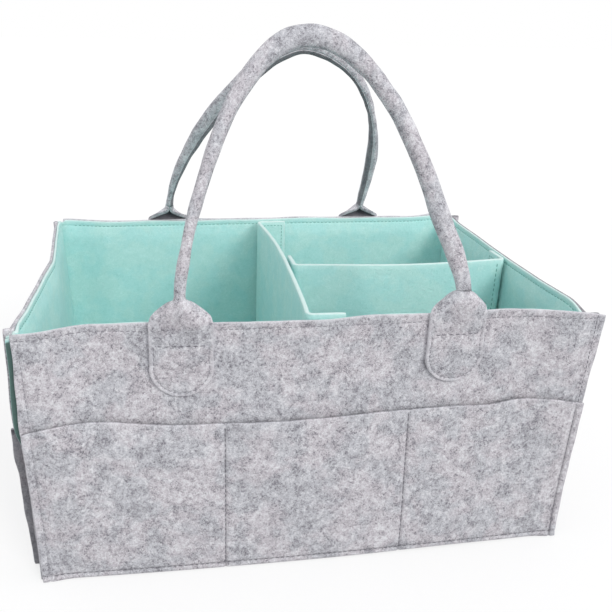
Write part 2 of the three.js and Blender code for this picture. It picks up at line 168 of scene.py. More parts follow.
def long_give(facing, x, z):
    """How far the soft long wall leaves its packed face, outwards."""
    tip = half_length(z)
    points = stacked(x, 0.0, z)
    calm = np.clip((tip - np.abs(x) - 10) / 45, 0, 1) * np.clip(z / 30, 0, 1)
    seed = 3 if facing < 0 else 4
    give = 0.55 * ripple(points, 150, seed) + 0.2 * ripple(points, 42, seed + 10)
    height = (z / WALL_HEIGHT) ** 2
    if facing < 0:
        drawn = 6.0 * bell(x, -140, 30) - 0.8 * bell(x, 30, 50) + 0.8 * bell(x, 125, 18)
    else:
        drawn = -1.6 * (1 - (x / tip) ** 2)
    foot = np.clip(1 - z / 50, 0, 1)
    curl = 2.6 * smooth(np.abs(x), tip - 22, tip) * np.clip(1 - z / 34, 0, 1) ** 2
    return give * calm - drawn * height + foot + curl


def end_flare(side, y):
    """How much further than packed an end wall stands out at the rim, towards its corners."""
    y = np.asarray(y, float)
    if side < 0:
        return 2.8 + 2.1 * smooth(-y, 84, 122) + 3.9 * np.clip((y - 12) / 107, 0, 1)
    return 0.4 + 1.2 * np.clip((y - 20) / 99, 0, 1) + 0.8 * smooth(-y, 84, 122)


def flare_share(z):
    """The part of an end wall's flare at the rim that it already has at this height."""
    return 0.45 + 0.55 * z / WALL_HEIGHT


def end_give(side, y, z):
    """How far a soft end wall leaves its packed face, outwards."""
    points = stacked(0.0, y, z)
    calm = np.clip((half_depth(z) - np.abs(y) - 22) / 40, 0, 1) * np.clip(z / 30, 0, 1)
    seed = 5 if side < 0 else 6
    soft = calm * (0.6 * ripple(points, 130, seed) + 0.2 * ripple(points, 40, seed + 10))
    return soft + end_flare(side, y) * flare_share(z)


def long_point(facing, x, z, depth):
    """A point of a long wall at this depth below its outer face."""
    return stacked(x, facing * (long_reach(x, z) + long_give(facing, x, z) - depth), z)


# ---- meshes


def volume_of(points, faces):
    """Six times the volume inside a shell of faces with four corners each, below 0 where they face inwards."""
    a, b, c, d = (points[faces[:, k]] for k in range(4))
    return (a * (np.cross(b, c) + np.cross(c, d))).sum()


def tube_faces(rings, around):
    """The faces between closed rings that have that many points around."""
    faces = []
    for k in range(rings - 1):
        for i in range(around):
            j = (i + 1) % around
            faces.append([k * around + i, k * around + j, (k + 1) * around + j, (k + 1) * around + i])
    return faces


def add_mesh(name, points, faces, edge, stuff, body, nodes=()):
    """A piece from points in mm, with their places and tones stored for the material; a tone below zero is painted
    shade.
    """
    material, slot = stuff
    mesh = bpy.data.meshes.new(name)
    points = np.asarray(points, float)
    mesh.from_pydata((points * MM).tolist(), [], [list(map(int, f)) for f in faces])
    places = mesh.attributes.new("place", "FLOAT_VECTOR", "POINT")
    places.data.foreach_set("vector", points.astype(np.float32).ravel())
    tones = mesh.attributes.new("edge", "FLOAT", "POINT")
    tones.data.foreach_set("value", np.broadcast_to(edge, len(points)).astype(np.float32))
    mesh.polygons.foreach_set("use_smooth", [True] * len(mesh.polygons))
    mesh.materials.append(material)
    mesh.update()
    piece = bpy.data.objects.new(name, mesh)
    bpy.context.scene.collection.objects.link(piece)
    if isinstance(body, str):
        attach(piece, body)
    else:
        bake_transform(piece)
    if nodes:
        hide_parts(*nodes)
    return piece


def felt_sheet(name, face, back, stuff, body, nodes, cut=CUT_ROUND, steps=5, side_cut=1.0, top_cut=1.0, tones=(0, 0)):
    """A sheet of felt from the grids of its two faces, with softly rounded cut edges.

    Tones run from -1, shaded, to 1, as pale as a cut edge can be: tones has those of the two faces, side_cut
    that of the cut edge along the first and last column, as one value or one a row, and top_cut that of the
    cut edge along the last row, as one value or as a pair for its face side and its back side.
    """
    rows, cols = face.shape[:2]
    count = rows * cols
    middle = (face + back) / 2
    grid = np.arange(count).reshape(rows, cols)
    border = [(0, j) for j in range(cols)]
    border += [(i, cols - 1) for i in range(1, rows)]
    border += [(rows - 1, j) for j in range(cols - 2, -1, -1)]
    border += [(i, 0) for i in range(rows - 2, 0, -1)]
    outward = np.zeros_like(middle)
    outward[0] += unit(middle[0] - middle[1])
    outward[-1] += unit(middle[-1] - middle[-2])
    outward[:, 0] += unit(middle[:, 0] - middle[:, 1])
    outward[:, -1] += unit(middle[:, -1] - middle[:, -2])
    outward = unit(outward)
    points = [face.reshape(-1, 3), back.reshape(-1, 3)]
    edge = [np.broadcast_to(tone, (rows, cols)).astype(float).ravel() for tone in tones]
    rim = np.array([grid[b] for b in border])
    sides = np.broadcast_to(side_cut, rows)
    on_side = np.array([0 < b[0] < rows - 1 for b in border])
    on_top = np.array([b[0] == rows - 1 for b in border])
    shown = np.where(on_side, [sides[b[0]] for b in border], 1.0)
    near, far = np.broadcast_to(top_cut, 2)
    for sheet in (0, 1):
        edge[sheet][rim] = np.where(edge[sheet][rim] < 0, edge[sheet][rim], RIM_TONE * shown)
        edge[sheet][rim[on_top]] = (RIM_TONE * near, far if far < 0 else RIM_TONE * far)[sheet]
    flat_middle, flat_out = middle.reshape(-1, 3)[rim], outward.reshape(-1, 3)[rim]
    half = (face - back).reshape(-1, 3)[rim] / 2
    strips = [rim]
    for k in range(1, steps):
        turn = math.pi * k / steps
        level = math.copysign(abs(math.cos(turn)) ** CUT_POWER, math.cos(turn))
        points.append(flat_middle + half * level + flat_out * cut * math.sin(turn) ** CUT_POWER)
        edge.append(np.where(on_top, lerp(near, far, (k - 1) / (steps - 2)), shown))
        strips.append(2 * count + (k - 1) * len(rim) + np.arange(len(rim)))
    strips.append(rim + count)
    a, b, c, d = grid[:-1, :-1], grid[:-1, 1:], grid[1:, 1:], grid[1:, :-1]
    faces = [np.stack([a, b, c, d], -1).reshape(-1, 4), np.stack([a, d, c, b], -1).reshape(-1, 4) + count]
    for upper, lower in zip(strips[:-1], strips[1:]):
        faces.append(np.stack([upper, lower, np.roll(lower, -1), np.roll(upper, -1)], -1))
    points, faces = np.concatenate(points), np.concatenate(faces)
    if volume_of(points, faces) < 0:
        faces = faces[:, ::-1]
    return add_mesh(name, points, faces, np.concatenate(edge), stuff, body, nodes)


def ring_body(name, rings, stuff, body, nodes):
    """A body lofted through closed rings and shut at both ends."""
    rings = np.asarray(rings)
    count, around = rings.shape[:2]
    points = np.concatenate([rings.reshape(-1, 3), rings[:1].mean(1), rings[-1:].mean(1)])
    last = (count - 1) * around
    faces = tube_faces(count, around)
    turned = volume_of(points, np.array(faces)) < 0
    for i in range(around):
        j = (i + 1) % around
        faces += [[count * around, j, i], [count * around + 1, last + i, last + j]]
    if turned:
        faces = [f[::-1] for f in faces]
    return add_mesh(name, points, faces, 0.0, stuff, body, nodes)


class Thread:
    """Gathers rows of stitches and makes one piece of them."""

    rings, sides = 5, 6

    def __init__(self):
        self.points, self.faces, self.count = [], [], 0

    def row(self, line, normals, pitch=3.7, length=2.9, radius=0.34, lift=0.1):
        reach = run_along(line)
        number = max(int((reach[-1] - length) / pitch) + 1, 1)
        spare = (reach[-1] - (number - 1) * pitch - length) / 2
        t = np.linspace(0, 1, self.rings)
        s = (spare + pitch * np.arange(number))[:, None] + length * t

        def at(values, s):
            return np.stack([np.interp(s, reach, values[:, k]) for k in range(3)], -1)

        up = unit(at(normals, s))
        along = unit(at(line, s + 0.4) - at(line, s - 0.4))
        across = np.cross(along, up)
        arch = np.sin(math.pi * np.clip(t, 0.04, 0.96)) ** 0.6
        centre = at(line, s) + up * ((radius + lift) * arch - radius)[:, None]
        size = (radius * (0.45 + 0.55 * arch))[:, None]
        turns = [2 * math.pi * k / self.sides for k in range(self.sides)]
        block = [centre + (across * math.cos(turn) + up * math.sin(turn)) * size for turn in turns]
        self.points.append(np.stack(block, 2).reshape(-1, 3))
        each, last = self.rings * self.sides, (self.rings - 1) * self.sides
        faces = tube_faces(self.rings, self.sides)
        faces += [list(range(self.sides))[::-1], list(range(last, each))]
        for n in range(number):
            self.faces += [[self.count + n * each + i for i in f] for f in faces]
        self.count += number * each

    def make(self, name, stuff, body):
        return add_mesh(name, np.concatenate(self.points), self.faces, 0.0, stuff, body)


def surface_row(thread, at, across, along, outward, **kinds):
    """Stitches along a line of a surface that is given as a function of two places."""
    u, v = np.broadcast_arrays(np.asarray(across, float), np.asarray(along, float))
    line = at(u, v)
    normals = np.cross(at(u + 0.3, v) - line, at(u, v + 0.3) - line)
    flip = np.sign(normals @ np.asarray(outward, float))
    thread.row(line, normals * flip[:, None], **kinds)


# ---- materials


def nodes_of(name):
    """A new material and its empty node tree."""
    material = bpy.data.materials.new(name)
    material.use_nodes = True
    material.node_tree.nodes.clear()
    return material, material.node_tree


def add(tree, kind, inputs=(), **settings):
    """A node with its settings and inputs, each of them a value or the socket that it comes from."""
    node = tree.nodes.new(kind)
    for key, value in settings.items():
        setattr(node, key, value)
    for key, value in dict(inputs).items():
        socket = node.inputs[key]
        if isinstance(value, bpy.types.NodeSocket):
            tree.links.new(value, socket)
        else:
            socket.default_value = value
    return node


def output(tree, shader, kind="Material"):
    tree.links.new(shader.outputs[0], add(tree, f"ShaderNodeOutput{kind}").inputs[0])


def stored(tree, name, kind):
    return add(tree, "ShaderNodeAttribute", attribute_name=name).outputs[kind]


def maths(tree, operation, *values):
    return add(tree, "ShaderNodeMath", dict(enumerate(values)), operation=operation).outputs[0]


def srgb(r, g, b):
    def linear(v):
        v /= 255
        return v / 12.92 if v <= 0.04045 else ((v + 0.055) / 1.055) ** 2.4

    return (linear(r), linear(g), linear(b), 1.0)


def noise(tree, place, scale, detail=2.0, rough=0.55, distortion=0.0, shift=0.0):
    moved = add(tree, "ShaderNodeVectorMath", {0: place, 1: (shift, shift * 0.7, -shift)}, operation="ADD")
    return add(
        tree,
        "ShaderNodeTexNoise",
        {"Vector": moved.outputs[0], "Scale": scale, "Detail": detail, "Roughness": rough, "Distortion": distortion},
    ).outputs["Fac"]


def ramp(tree, value, low, high, to_low=0.0, to_high=1.0):
    return add(
        tree,
        "ShaderNodeMapRange",
        {"Value": value, "From Min": low, "From Max": high, "To Min": to_low, "To Max": to_high},
        interpolation_type="SMOOTHSTEP",
    ).outputs["Result"]


def times(tree, a, b):
    return maths(tree, "MULTIPLY", a, b)


def mix(tree, share, a, b):
    return add(tree, "ShaderNodeMix", {0: share, 6: a, 7: b}, data_type="RGBA").outputs[2]


def fibres(tree, place, scale, width, shift, shown=0.5):
    """Short curly threads: the level line of one noise, broken up by another."""
    field = noise(tree, place, scale, 1.0, 0.5, 0.5, shift)
    near = maths(tree, "ABSOLUTE", maths(tree, "SUBTRACT", field, 0.5))
    line = ramp(tree, near, width, 0.0)
    broken = ramp(tree, noise(tree, place, scale * 0.9, 1.0, 0.5, 0.0, shift + 31), shown, shown + 0.08)
    return times(tree, line, broken)


def weighted(tree, *parts):
    """The sum of values that lie round a half, each brought to zero and given its weight, plus a half."""
    total = 0.5
    for value, weight in parts:
        total = maths(tree, "MULTIPLY_ADD", maths(tree, "SUBTRACT", value, 0.5), weight, total)
    return total


def surface(tree, colour, height, strength, distance, gloss):
    """A shader with a small relief, in metres, and its gloss, as the material's output."""
    bump = add(tree, "ShaderNodeBump", {"Height": height, "Strength": strength, "Distance": distance})
    inputs = {"Base Color": colour, "Normal": bump.outputs[0], **gloss}
    output(tree, add(tree, "ShaderNodeBsdfPrincipled", inputs))


def felt(name, fleck, contrast, **colours):
    """Pressed felt: mottled fibres with darker and paler ones among them, paler cut edges and painted shade."""
    tones = {key: srgb(*value) for key, value in colours.items()}
    material, tree = nodes_of(name)
    place, edge = stored(tree, "place", "Vector"), stored(tree, "edge", "Fac")
    cloud = noise(tree, place, 0.04, 3.0, 0.6, 0.3, 5)
    blotch = noise(tree, place, 0.13, 3.0, 0.6, 0.6, 17)
    grain = noise(tree, place, 0.45, 3.0, 0.62, 0.5, 43)
    speck = noise(tree, place, 0.8, 2.0, 0.6, 0.7, 71)
    fine = noise(tree, place, 1.3, 3.0, 0.7, 0.5, 97)
    level = weighted(
        tree, (blotch, 1.3 * contrast), (grain, 1.4 * contrast), (fine, 1.8 * contrast), (cloud, 0.6 * contrast)
    )
    colour = mix(tree, ramp(tree, cloud, 0.42, 0.58), tones["cool"], tones["warm"])
    colour = mix(tree, ramp(tree, level, 0.5, 0.05), colour, tones["dim"])
    colour = mix(tree, ramp(tree, level, 0.5, 0.95), colour, tones["pale"])
    clump = ramp(tree, blotch, 0.62, 0.4, 0.35, 1.0)
    colour = mix(tree, times(tree, times(tree, ramp(tree, speck, 0.55, 0.68), clump), fleck), colour, tones["dark"])
    dark_threads = times(tree, fibres(tree, place, 0.5, 0.06, 131, 0.51), clump)
    pale_threads = fibres(tree, place, 0.62, 0.06, 177, 0.5)
    colour = mix(tree, times(tree, dark_threads, fleck * 0.9), colour, tones["dark"])
    colour = mix(tree, times(tree, pale_threads, 0.5 * contrast), colour, tones["pale"])
    colour = mix(tree, times(tree, edge, 0.75), colour, tones["cut"])
    # Painted shade: where the stored edge tone is below zero, the colour goes towards the shade tone.
    colour = mix(tree, ramp(tree, edge, 0.0, -1.0), colour, tones["shade"])
    height = weighted(tree, (fine, 1.0), (grain, 1.2), (pale_threads, 0.4))
    gloss = {"Roughness": 0.95, "Specular IOR Level": 0.12, "Sheen Weight": 0.1, "Sheen Roughness": 0.6}
    surface(tree, colour, height, 0.8, 0.0004, gloss)
    return material


def yarn(name, colour, darker):
    """Sewing thread, twisted along its length by a fine wave."""
    material, tree = nodes_of(name)
    twist = noise(tree, stored(tree, "place", "Vector"), 3.0, 2.0, 0.6, 0.5, 11)
    tone = mix(tree, ramp(tree, twist, 0.35, 0.65), srgb(*darker), srgb(*colour))
    surface(tree, tone, twist, 0.5, 0.0001, {"Roughness": 0.6, "Specular IOR Level": 0.3})
    return material


def hook_tape():
    """Woven tape with rows of short stiff hooks."""
    material, tree = nodes_of("hook_tape")
    place = stored(tree, "place", "Vector")
    dots = add(tree, "ShaderNodeTexVoronoi", {"Vector": place, "Scale": 0.9, "Randomness": 0.25})
    spots = ramp(tree, dots.outputs["Distance"], 0.45, 0.1)
    tone = mix(tree, spots, srgb(142, 204, 196), srgb(190, 232, 226))
    surface(tree, tone, spots, 0.8, 0.0004, {"Roughness": 0.55})
    return material


# Each material with the slot that it stands for
GREY = felt(
    "grey_felt", fleck=0.75, contrast=1.0, cool=(193, 194, 200), warm=(198, 193, 199), dim=(146, 144, 151),
    pale=(226, 226, 230), dark=(92, 90, 98), cut=(214, 213, 218), shade=(92, 90, 96),
), "grey_felt"
MINT = felt(
    "mint_felt", fleck=0.12, contrast=0.55, cool=(183, 230, 227), warm=(190, 231, 226), dim=(166, 220, 215),
    pale=(208, 242, 239), dark=(146, 204, 198), cut=(220, 238, 235), shade=(82, 108, 103),
), "mint_felt"
TAPE = hook_tape(), "hook_tape"
GREY_THREAD = yarn("grey_thread", (158, 157, 163), (130, 129, 136)), "grey_felt"
DARK_THREAD = yarn("dark_thread", (124, 123, 130), (92, 91, 98)), "grey_felt"
MINT_THREAD = yarn("mint_thread", (126, 186, 179), (88, 152, 145)), "mint_felt"


# ---- the two long walls


def stations(last, spacing, fine=()):
    """Places from -last to last, closer together round each place in fine."""
    places = list(np.linspace(-last, last, int(2 * last / spacing) + 1))
    for middle in fine:
        places = [p for p in places if abs(p - middle) > 2.4]
        places += [middle + k for k in (-2.2, -1.5, -0.9, -0.4, 0, 0.4, 0.9, 1.5, 2.2)]
    return np.array(sorted(places))


def levels(low, high, spacing, fine=()):
    """Heights from low to high, closer together round each height in fine."""
    middle = (low + high) / 2
    return stations((high - low) / 2, spacing, [f - middle for f in fine]) + middle


def at_height(x, z, extra):
    """Moves stations of the rim to another height, where the corners stand closer."""
    steady = 100.0
    tip = half_length(z) + extra - CUT_ROUND
    full = RIM_LENGTH / 2 - CUT_ROUND
    beyond = (np.abs(x) - steady) * (tip - steady) / (full - steady)
    return np.where(np.abs(x) <= steady, x, np.sign(x) * (steady + beyond))


def corner_line(x, z):
    """How far beyond a corner's line of stitches a place of a long wall is."""
    return np.abs(x) - (half_length(z) - CORNER_SEAM)


def wall_press(x, z):
    """Depth pressed into a long wall's outer face by its stitches."""
    return 0.55 * bell(corner_line(x, z), 0, 1.0) + RIM_PRESS * bell(z, WALL_HEIGHT - RIM_STITCH, 0.9)


RIM_LIFTS = {
    -1: ([-190, -135, -114, -92, -70, 5, 30, 130, 160, 180, 190], [0, 0, 1.4, 1.2, 0, 0, 1.4, 1.4, 0.6, -0.9, -2.5]),
    1: ([-190, -165, 160, 190], [1.8, 0.7, 0.7, 2.2]),
}


def pinch(z):
    """How far the rim's two layers are pressed together, from 0 well below it to 1 at its stitches."""
    return smooth(z, WALL_HEIGHT - 16, WALL_HEIGHT - 3)


def lining_press(z):
    """Depth that the lining's inner face gives at the rim."""
    return 2.0 * pinch(z) + 0.5 * bell(z, WALL_HEIGHT - RIM_STITCH, 0.9)


def rim_height(facing, x, seed, drop=0.0):
    """Height at which a long wall's felt ends, which the real caddy's rim wanders from a little."""
    lift = eased(x, *RIM_LIFTS[facing], 4.0)
    return WALL_HEIGHT - CUT_ROUND - drop + lift + 0.35 * ripple(stacked(x, 0.0, 0.0), 60, seed)


def end_lift(side, y):
    """How far an end wall's rim leaves its packed height."""
    if side < 0:
        return 0.9 * bell(y, -25, 70) + 1.8 * smooth(y, 100, 122)
    return 2.2 * smooth(y, 100, 124) - 4.5 * smooth(-y, 98, 126)


def tip_wander(z, seed):
    """How far a corner's cut edge leaves its straight line."""
    return 0.35 * ripple(stacked(z, 0.0, 0.0), 26, seed)


def left_in(z):
    """How far the tips of the left corners are drawn in towards the rim."""
    return 2.6 * smooth(z, 112, 175)


def above_pockets(z):
    return smooth(z, 92, 112)


def foot_height(x):
    """The wall's lower edge: the corner tips reach the table and the rest is a little higher."""
    tip = FOOT_LENGTH / 2
    return 0.9 + 0.4 * (1 - smooth(np.abs(x), tip - 22, tip - 3)) + 0.8 * bell(x, 95, 45)


def long_wall(name, facing):
    x_rim = stations(RIM_LENGTH / 2 - CUT_ROUND, 3.0, (RIM_LENGTH / 2 - CORNER_SEAM, CORNER_SEAM - RIM_LENGTH / 2))
    share = levels(0, WALL_HEIGHT, 3.4, (WALL_HEIGHT - RIM_STITCH,)) / WALL_HEIGHT
    right_out = 2.0 if facing < 0 else -2.0

    def grid(depth, extra, seed, press, drop=0.0):
        x0, s = np.meshgrid(x_rim, share)
        high = rim_height(facing, x0, seed, drop * (1 + TIP_DROP * smooth(np.abs(x0), 183, 188)))
        z = lerp(foot_height(x0), high, s)
        x = at_height(x0, z, extra(x0, z) - left_in(z) * (x0 < 0) - (BACK_TRIM if facing > 0 else 0))
        return long_point(facing, x, z, depth + press(x, z))

    def felt_tip(x, z):
        return tip_wander(z, 21 + facing) + right_out * smooth(z, 105, 170) * (x > 0)

    felt_sheet(
        f"{name}_outer_wall", grid(0, felt_tip, 31, wall_press),
        grid(WALL_FELT, felt_tip, 31, lambda x, z: -1.0 * pinch(z)), GREY, "caddy_body",
        [f"outer_{name}_wall"], side_cut=0.4, top_cut=0.8,
    )

    # The lining's cut edges stand out past the grey felt above the pockets and not below, less at the right
    def lining_tip(x, z):
        return tip_wander(z, 23 + facing) - 1.0 + (4.4 - 1.6 * (x > 0)) * above_pockets(z)

    outer = grid(LINING_DEPTH, lining_tip, 32, lambda x, z: -1.2 * pinch(z), LINING_DROP)
    inner = grid(STACK, lining_tip, 32, lambda x, z: -lining_press(z), LINING_DROP)
    # Painted shade on the lining's cut edges and on the last few mm of its face at the corner tips.
    side = np.abs(outer[..., 0]) - half_length(outer[..., 2])
    felt_sheet(
        f"{name}_lining", outer, inner, MINT, "caddy_body", [f"lining_{name}_wall"], side_cut=-0.6,
        tones=(-smooth(side, -5, -2), 0),
    )


MOUTH_PLACES = [-190, -180, -165, -145, -125, -100, -62, 0, 40, 62, 95, 118, 142, 165, 190]
MOUTH_HEIGHTS = [
    110.5, 113.8, 115.6, 115.3, 113.8, 111.5, 110.0, 110.4, 112.1, 111.4, 113.0, 111.9, 115.2, 114.6, 109.5
]


def pocket_mouth(x):
    """Height of the long pockets' top edge: it dips to both corners and is caught at each seam."""
    notch = 0.8 * bell(np.abs(x), POCKET_SEAM, 2.6)
    return eased(x, MOUTH_PLACES, MOUTH_HEIGHTS) - notch - CUT_ROUND


def pocket_stand(facing, x, z):
    """How far a long pocket stands off the wall, pinched in at its seams."""
    fullness = 2.6 if facing < 0 else 3.2
    tip = half_length(z) - CORNER_SEAM
    low = np.where(x < -POCKET_SEAM, -tip, np.where(x < POCKET_SEAM, -POCKET_SEAM, POCKET_SEAM))
    high = np.where(x < -POCKET_SEAM, -POCKET_SEAM, np.where(x < POCKET_SEAM, POCKET_SEAM, tip))
    share = np.clip((x - low) / (high - low), 0, 1)
    mouth = 1 - np.abs(2 * share - 1) ** 3
    rise = np.clip(z / pocket_mouth(x), 0, 1)
    wrinkle = 0.3 * ripple(stacked(x, 0.0, z), 34, 51 + facing) * np.clip(mouth * 1.5, 0, 1)
    return (fullness * mouth + wrinkle) * (1 - (1 - rise) ** 2.2)


def pocket_press(x, z):
    """Depth pressed into a long pocket's face by its stitches."""
    seams = bell(np.abs(x), POCKET_SEAM, 1.0) + bell(corner_line(x, z), 0, 1.0)
    return 0.75 * seams + 0.7 * bell(z, FOOT_SEAM + 1.0, 0.9)


def pocket_point(facing, x, z):
    stand = pocket_stand(facing, x, z) - pocket_press(x, z)
    return long_point(facing, x, z, POCKET_DEPTH - stand)


def long_pocket(name, facing):
    corner = RIM_LENGTH / 2 - CORNER_SEAM - 0.4
    x_rim = stations(RIM_LENGTH / 2 - CUT_ROUND, 2.8, (-corner, -POCKET_SEAM, POCKET_SEAM, corner))
    x0, s = np.meshgrid(x_rim, levels(0, 110, 2.8, (FOOT_SEAM,)) / 110)
    z = lerp(foot_height(x0), pocket_mouth(x0), s)
    x = at_height(x0, z, tip_wander(z, 25 + facing) - 1.2)
    mouth = smooth(z, pocket_mouth(x) - 7, pocket_mouth(x))
    back = long_point(facing, x, z, -GAP - np.maximum(pocket_stand(facing, x, z), 0) - 0.9 * mouth)
    # Painted shade: dark lines in the grooves of the two pocket seams, one corner seam and the bottom seam, a painted
    # shadow along the back of the top edge, and shade on the back face near the mouth.
    seam = 0.4 * bell(np.abs(x), POCKET_SEAM, 0.9) + 0.5 * bell(corner_line(x, z), 0, 1.2) * (x * facing < 0)
    tone = -seam - 0.35 * bell(z, FOOT_SEAM + 1.0, 1.2)
    felt_sheet(
        f"{name}_pockets", pocket_point(facing, x, z), back, GREY, "caddy_body", [f"{name}_pocket_panel"],
        top_cut=(0.5, -1.0), tones=(tone, -0.9 * mouth),
    )


# ---- the two end walls


def on_flange(count):
    """Whether each of that many places of an end wall's line is on one of its two seam flanges."""
    place = np.arange(count)
    return np.minimum(place, place[::-1]) < FLANGE_PLACES


def end_line(side, z, depth, swell, extra, count=60):
    """Plan line of a layer of an end wall with its two seam flanges, as an array of places."""
    seam_y = half_depth(z) - 2 * STACK - GAP + depth
    bend = 0.8 + 0.12 * max(depth, 0)
    bend_end = seam_y - bend
    y = np.linspace(-bend_end, bend_end, count)[1:-1]
    wall = np.stack([end_reach(y, z, side) - depth + swell(y, z, bend_end), y], -1)
    turn = np.linspace(math.pi / 2, math.pi, 6)

    def corner(end):
        centre = end_reach(end * bend_end, z, side) + end_flare(side, end * bend_end) * flare_share(z) - depth + bend
        arc = np.stack([centre + bend * np.cos(turn), end * (bend_end + bend * np.sin(turn))], -1)
        tip = half_length(z) + extra - CUT_ROUND - (BACK_TRIM if end > 0 else 0)
        flange = np.linspace(tip, centre, FLANGE_PLACES + 1)[:-1]
        return np.concatenate([stacked(flange, end * seam_y), arc])

    line = np.concatenate([corner(-1), wall, corner(1)[::-1]])
    return np.column_stack([side * line[:, 0], line[:, 1], np.full(len(line), z)])


def end_wall(name, side):
    z_rows = levels(LOW_EDGE, WALL_HEIGHT - CUT_ROUND, 3.4, (WALL_HEIGHT - RIM_STITCH,))
    left = side < 0

    def layer(depth, extra, press, drop, tip_drop):
        def swell(y, z, reach):
            return end_give(side, y, z) - press(z) * np.clip((reach - np.abs(y)) / 12, 0, 1)

        lines = np.array([end_line(side, z, depth, swell, extra(z)) for z in z_rows])
        lower = drop * (1 + tip_drop * on_flange(lines.shape[1]))
        lines[..., 2] += (end_lift(side, lines[..., 1]) - lower) * (lines[..., 2] / WALL_HEIGHT) ** 3
        return lines

    def tip(z, seed, low, more):
        return tip_wander(z, seed + side) + low + more * above_pockets(z) - left * left_in(z)

    def outer_layer(depth, press):
        # The outer felt ends lower at the right, so that the lining hides it from the front
        return layer(depth, lambda z: tip(z, 27, 2.4, 3.2 if left else 1.6), press, 0.0 if left else 1.2, 0)

    def lining_layer(depth, press):
        return layer(depth, lambda z: tip(z, 29, -0.8, 4.2 if left else 2.8), press, LINING_DROP, TIP_DROP)

    # Painted shade on the outer felt's cut edges at the corners and on its top edge, more at the right; the lining's
    # cut edges take painted shade too.
    felt_sheet(
        f"{name}_outer_end", outer_layer(0, lambda z: RIM_PRESS * bell(z, WALL_HEIGHT - RIM_STITCH, 0.9)),
        outer_layer(WALL_FELT, lambda z: -1.0 * pinch(z)), GREY, "caddy_body", [f"outer_{name}_end"],
        side_cut=-0.4, top_cut=(-0.25, 0.3) if left else (-0.7, -0.4),
    )
    felt_sheet(
        f"{name}_end_lining", lining_layer(LINING_DEPTH, lambda z: -1.2 * pinch(z)),
        lining_layer(STACK, lambda z: -lining_press(z)), MINT, "caddy_body", [f"lining_{name}_end"], side_cut=-0.6,
    )


def end_pocket_top(y):
    """Height of an end pocket's top edge, which dips to both corners."""
    reach = half_depth(110.0)
    return END_POCKET_TOP - 5.0 * smooth(np.abs(y), reach - 45, reach - 12) - CUT_ROUND


def end_swell(side, y, z, reach):
    """How far an end pocket stands off the wall."""
    across = 1 - np.abs((y + reach) / reach - 1) ** 3.4
    rise = np.clip(z / 111.0, 0, 1)
    wrinkle = 0.5 * ripple(stacked(0.0, y, z), 48, 57 + side)
    return (8.0 * across + wrinkle * np.clip(across * 1.5, 0, 1)) * (1 - (1 - rise) ** 2.4)


def end_pocket(name, side):
    low, high = (6.4, 8.2) if side < 0 else (4.6, 6.4)

    def layer(depth, press):
        def swell(y, z, reach):
            held = np.maximum(end_swell(side, y, z, reach), 0)
            return end_give(side, y, z) + held - press * bell(z, FOOT_SEAM + 1, 0.9)

        rows = []
        for s in levels(0, 110, 3.0, (FOOT_SEAM,)) / 110:
            z = lerp(LOW_EDGE, END_POCKET_TOP - CUT_ROUND, s)
            row = end_line(side, z, depth, swell, tip_wander(z, 35 + side) + lerp(low, high, z / END_POCKET_TOP))
            row[:, 2] = lerp(LOW_EDGE, end_pocket_top(row[:, 1]), s)
            rows.append(row)
        return np.array(rows)

    face = layer(POCKET_DEPTH, 0.6)
    # Painted shade on the back faces of the corner flanges, on the cut edges along them and along the back of the top
    # edge.
    flange = on_flange(face.shape[1]) * np.ones(face.shape[:2])
    felt_sheet(
        f"{name}_end_pocket", face, layer(-GAP, 0.0), GREY, "caddy_body", [f"{name}_end_pocket_panel"],
        side_cut=-0.4, top_cut=(0.5, -1.0), tones=(0, -0.6 * flange),
    )


# ---- the base


def base_ring(inset, z, steps=26):
    """The outline of the base at that height, inside the walls' inner faces by the inset."""

    def half_width(x, facing):
        return long_reach(x, 0 * x + z) + long_give(facing, x, 0 * x + z) - STACK - GAP

    def half_span(y, side):
        return end_reach(y, 0 * y + z, side) + end_give(side, y, 0 * y + z) - STACK - GAP

    cut = inset + BASE_CUT

    def corner_x(side, facing):
        return side * (float(half_span(facing * half_depth(0.0), side)) - cut)

    front = np.linspace(corner_x(-1, -1), corner_x(1, -1), steps)
    back = np.linspace(corner_x(1, 1), corner_x(-1, 1), steps)
    far_y = float(half_width(half_length(0.0) - BASE_TURN, 1)) - cut
    over = np.linspace(-far_y, far_y, steps)
    parts = [
        (front, inset - half_width(front, -1)), (half_span(over, 1) - inset, over),
        (back, half_width(back, 1) - inset), (inset - half_span(over[::-1], -1), over[::-1]),
    ]
    return np.concatenate([stacked(x, y, z) for x, y in parts])


def border_rise(inset):
    """How far the base's border climbs the walls."""
    return SEAM_RISE * (1 - float(smooth(inset, 0, RISE_RUN)))


def bases():
    insets = np.linspace(RISE_RUN * 1.5, 0.7, 12)
    top = [base_ring(i, WALL_FELT + border_rise(i)) for i in insets]
    lip = [base_ring(0.15, WALL_FELT + SEAM_RISE - 0.7), base_ring(0.0, 3.0), base_ring(0.15, 0.7)]
    hem = [base_ring(0.8, 0.05), base_ring(2.2, 0.05), base_ring(2.9, 0.6)]
    under = [base_ring(i, border_rise(i)) for i in np.linspace(3.0, RISE_RUN * 1.5, 10)]
    ring_body("base_felt", top + lip + hem + under, GREY, "caddy_body", ["outer_base"])
    top = [base_ring(i, STACK + border_rise(i)) for i in insets]
    lip = [base_ring(0.15, STACK + SEAM_RISE - 0.6), base_ring(0.15, LINING_DEPTH + SEAM_RISE + 0.6)]
    under = [base_ring(i, LINING_DEPTH + border_rise(i)) for i in insets[::-1]]
    ring_body("base_lining", top + lip + under, MINT, "caddy_body", ["lining_base"])


# ---- the dividers and their hook strips


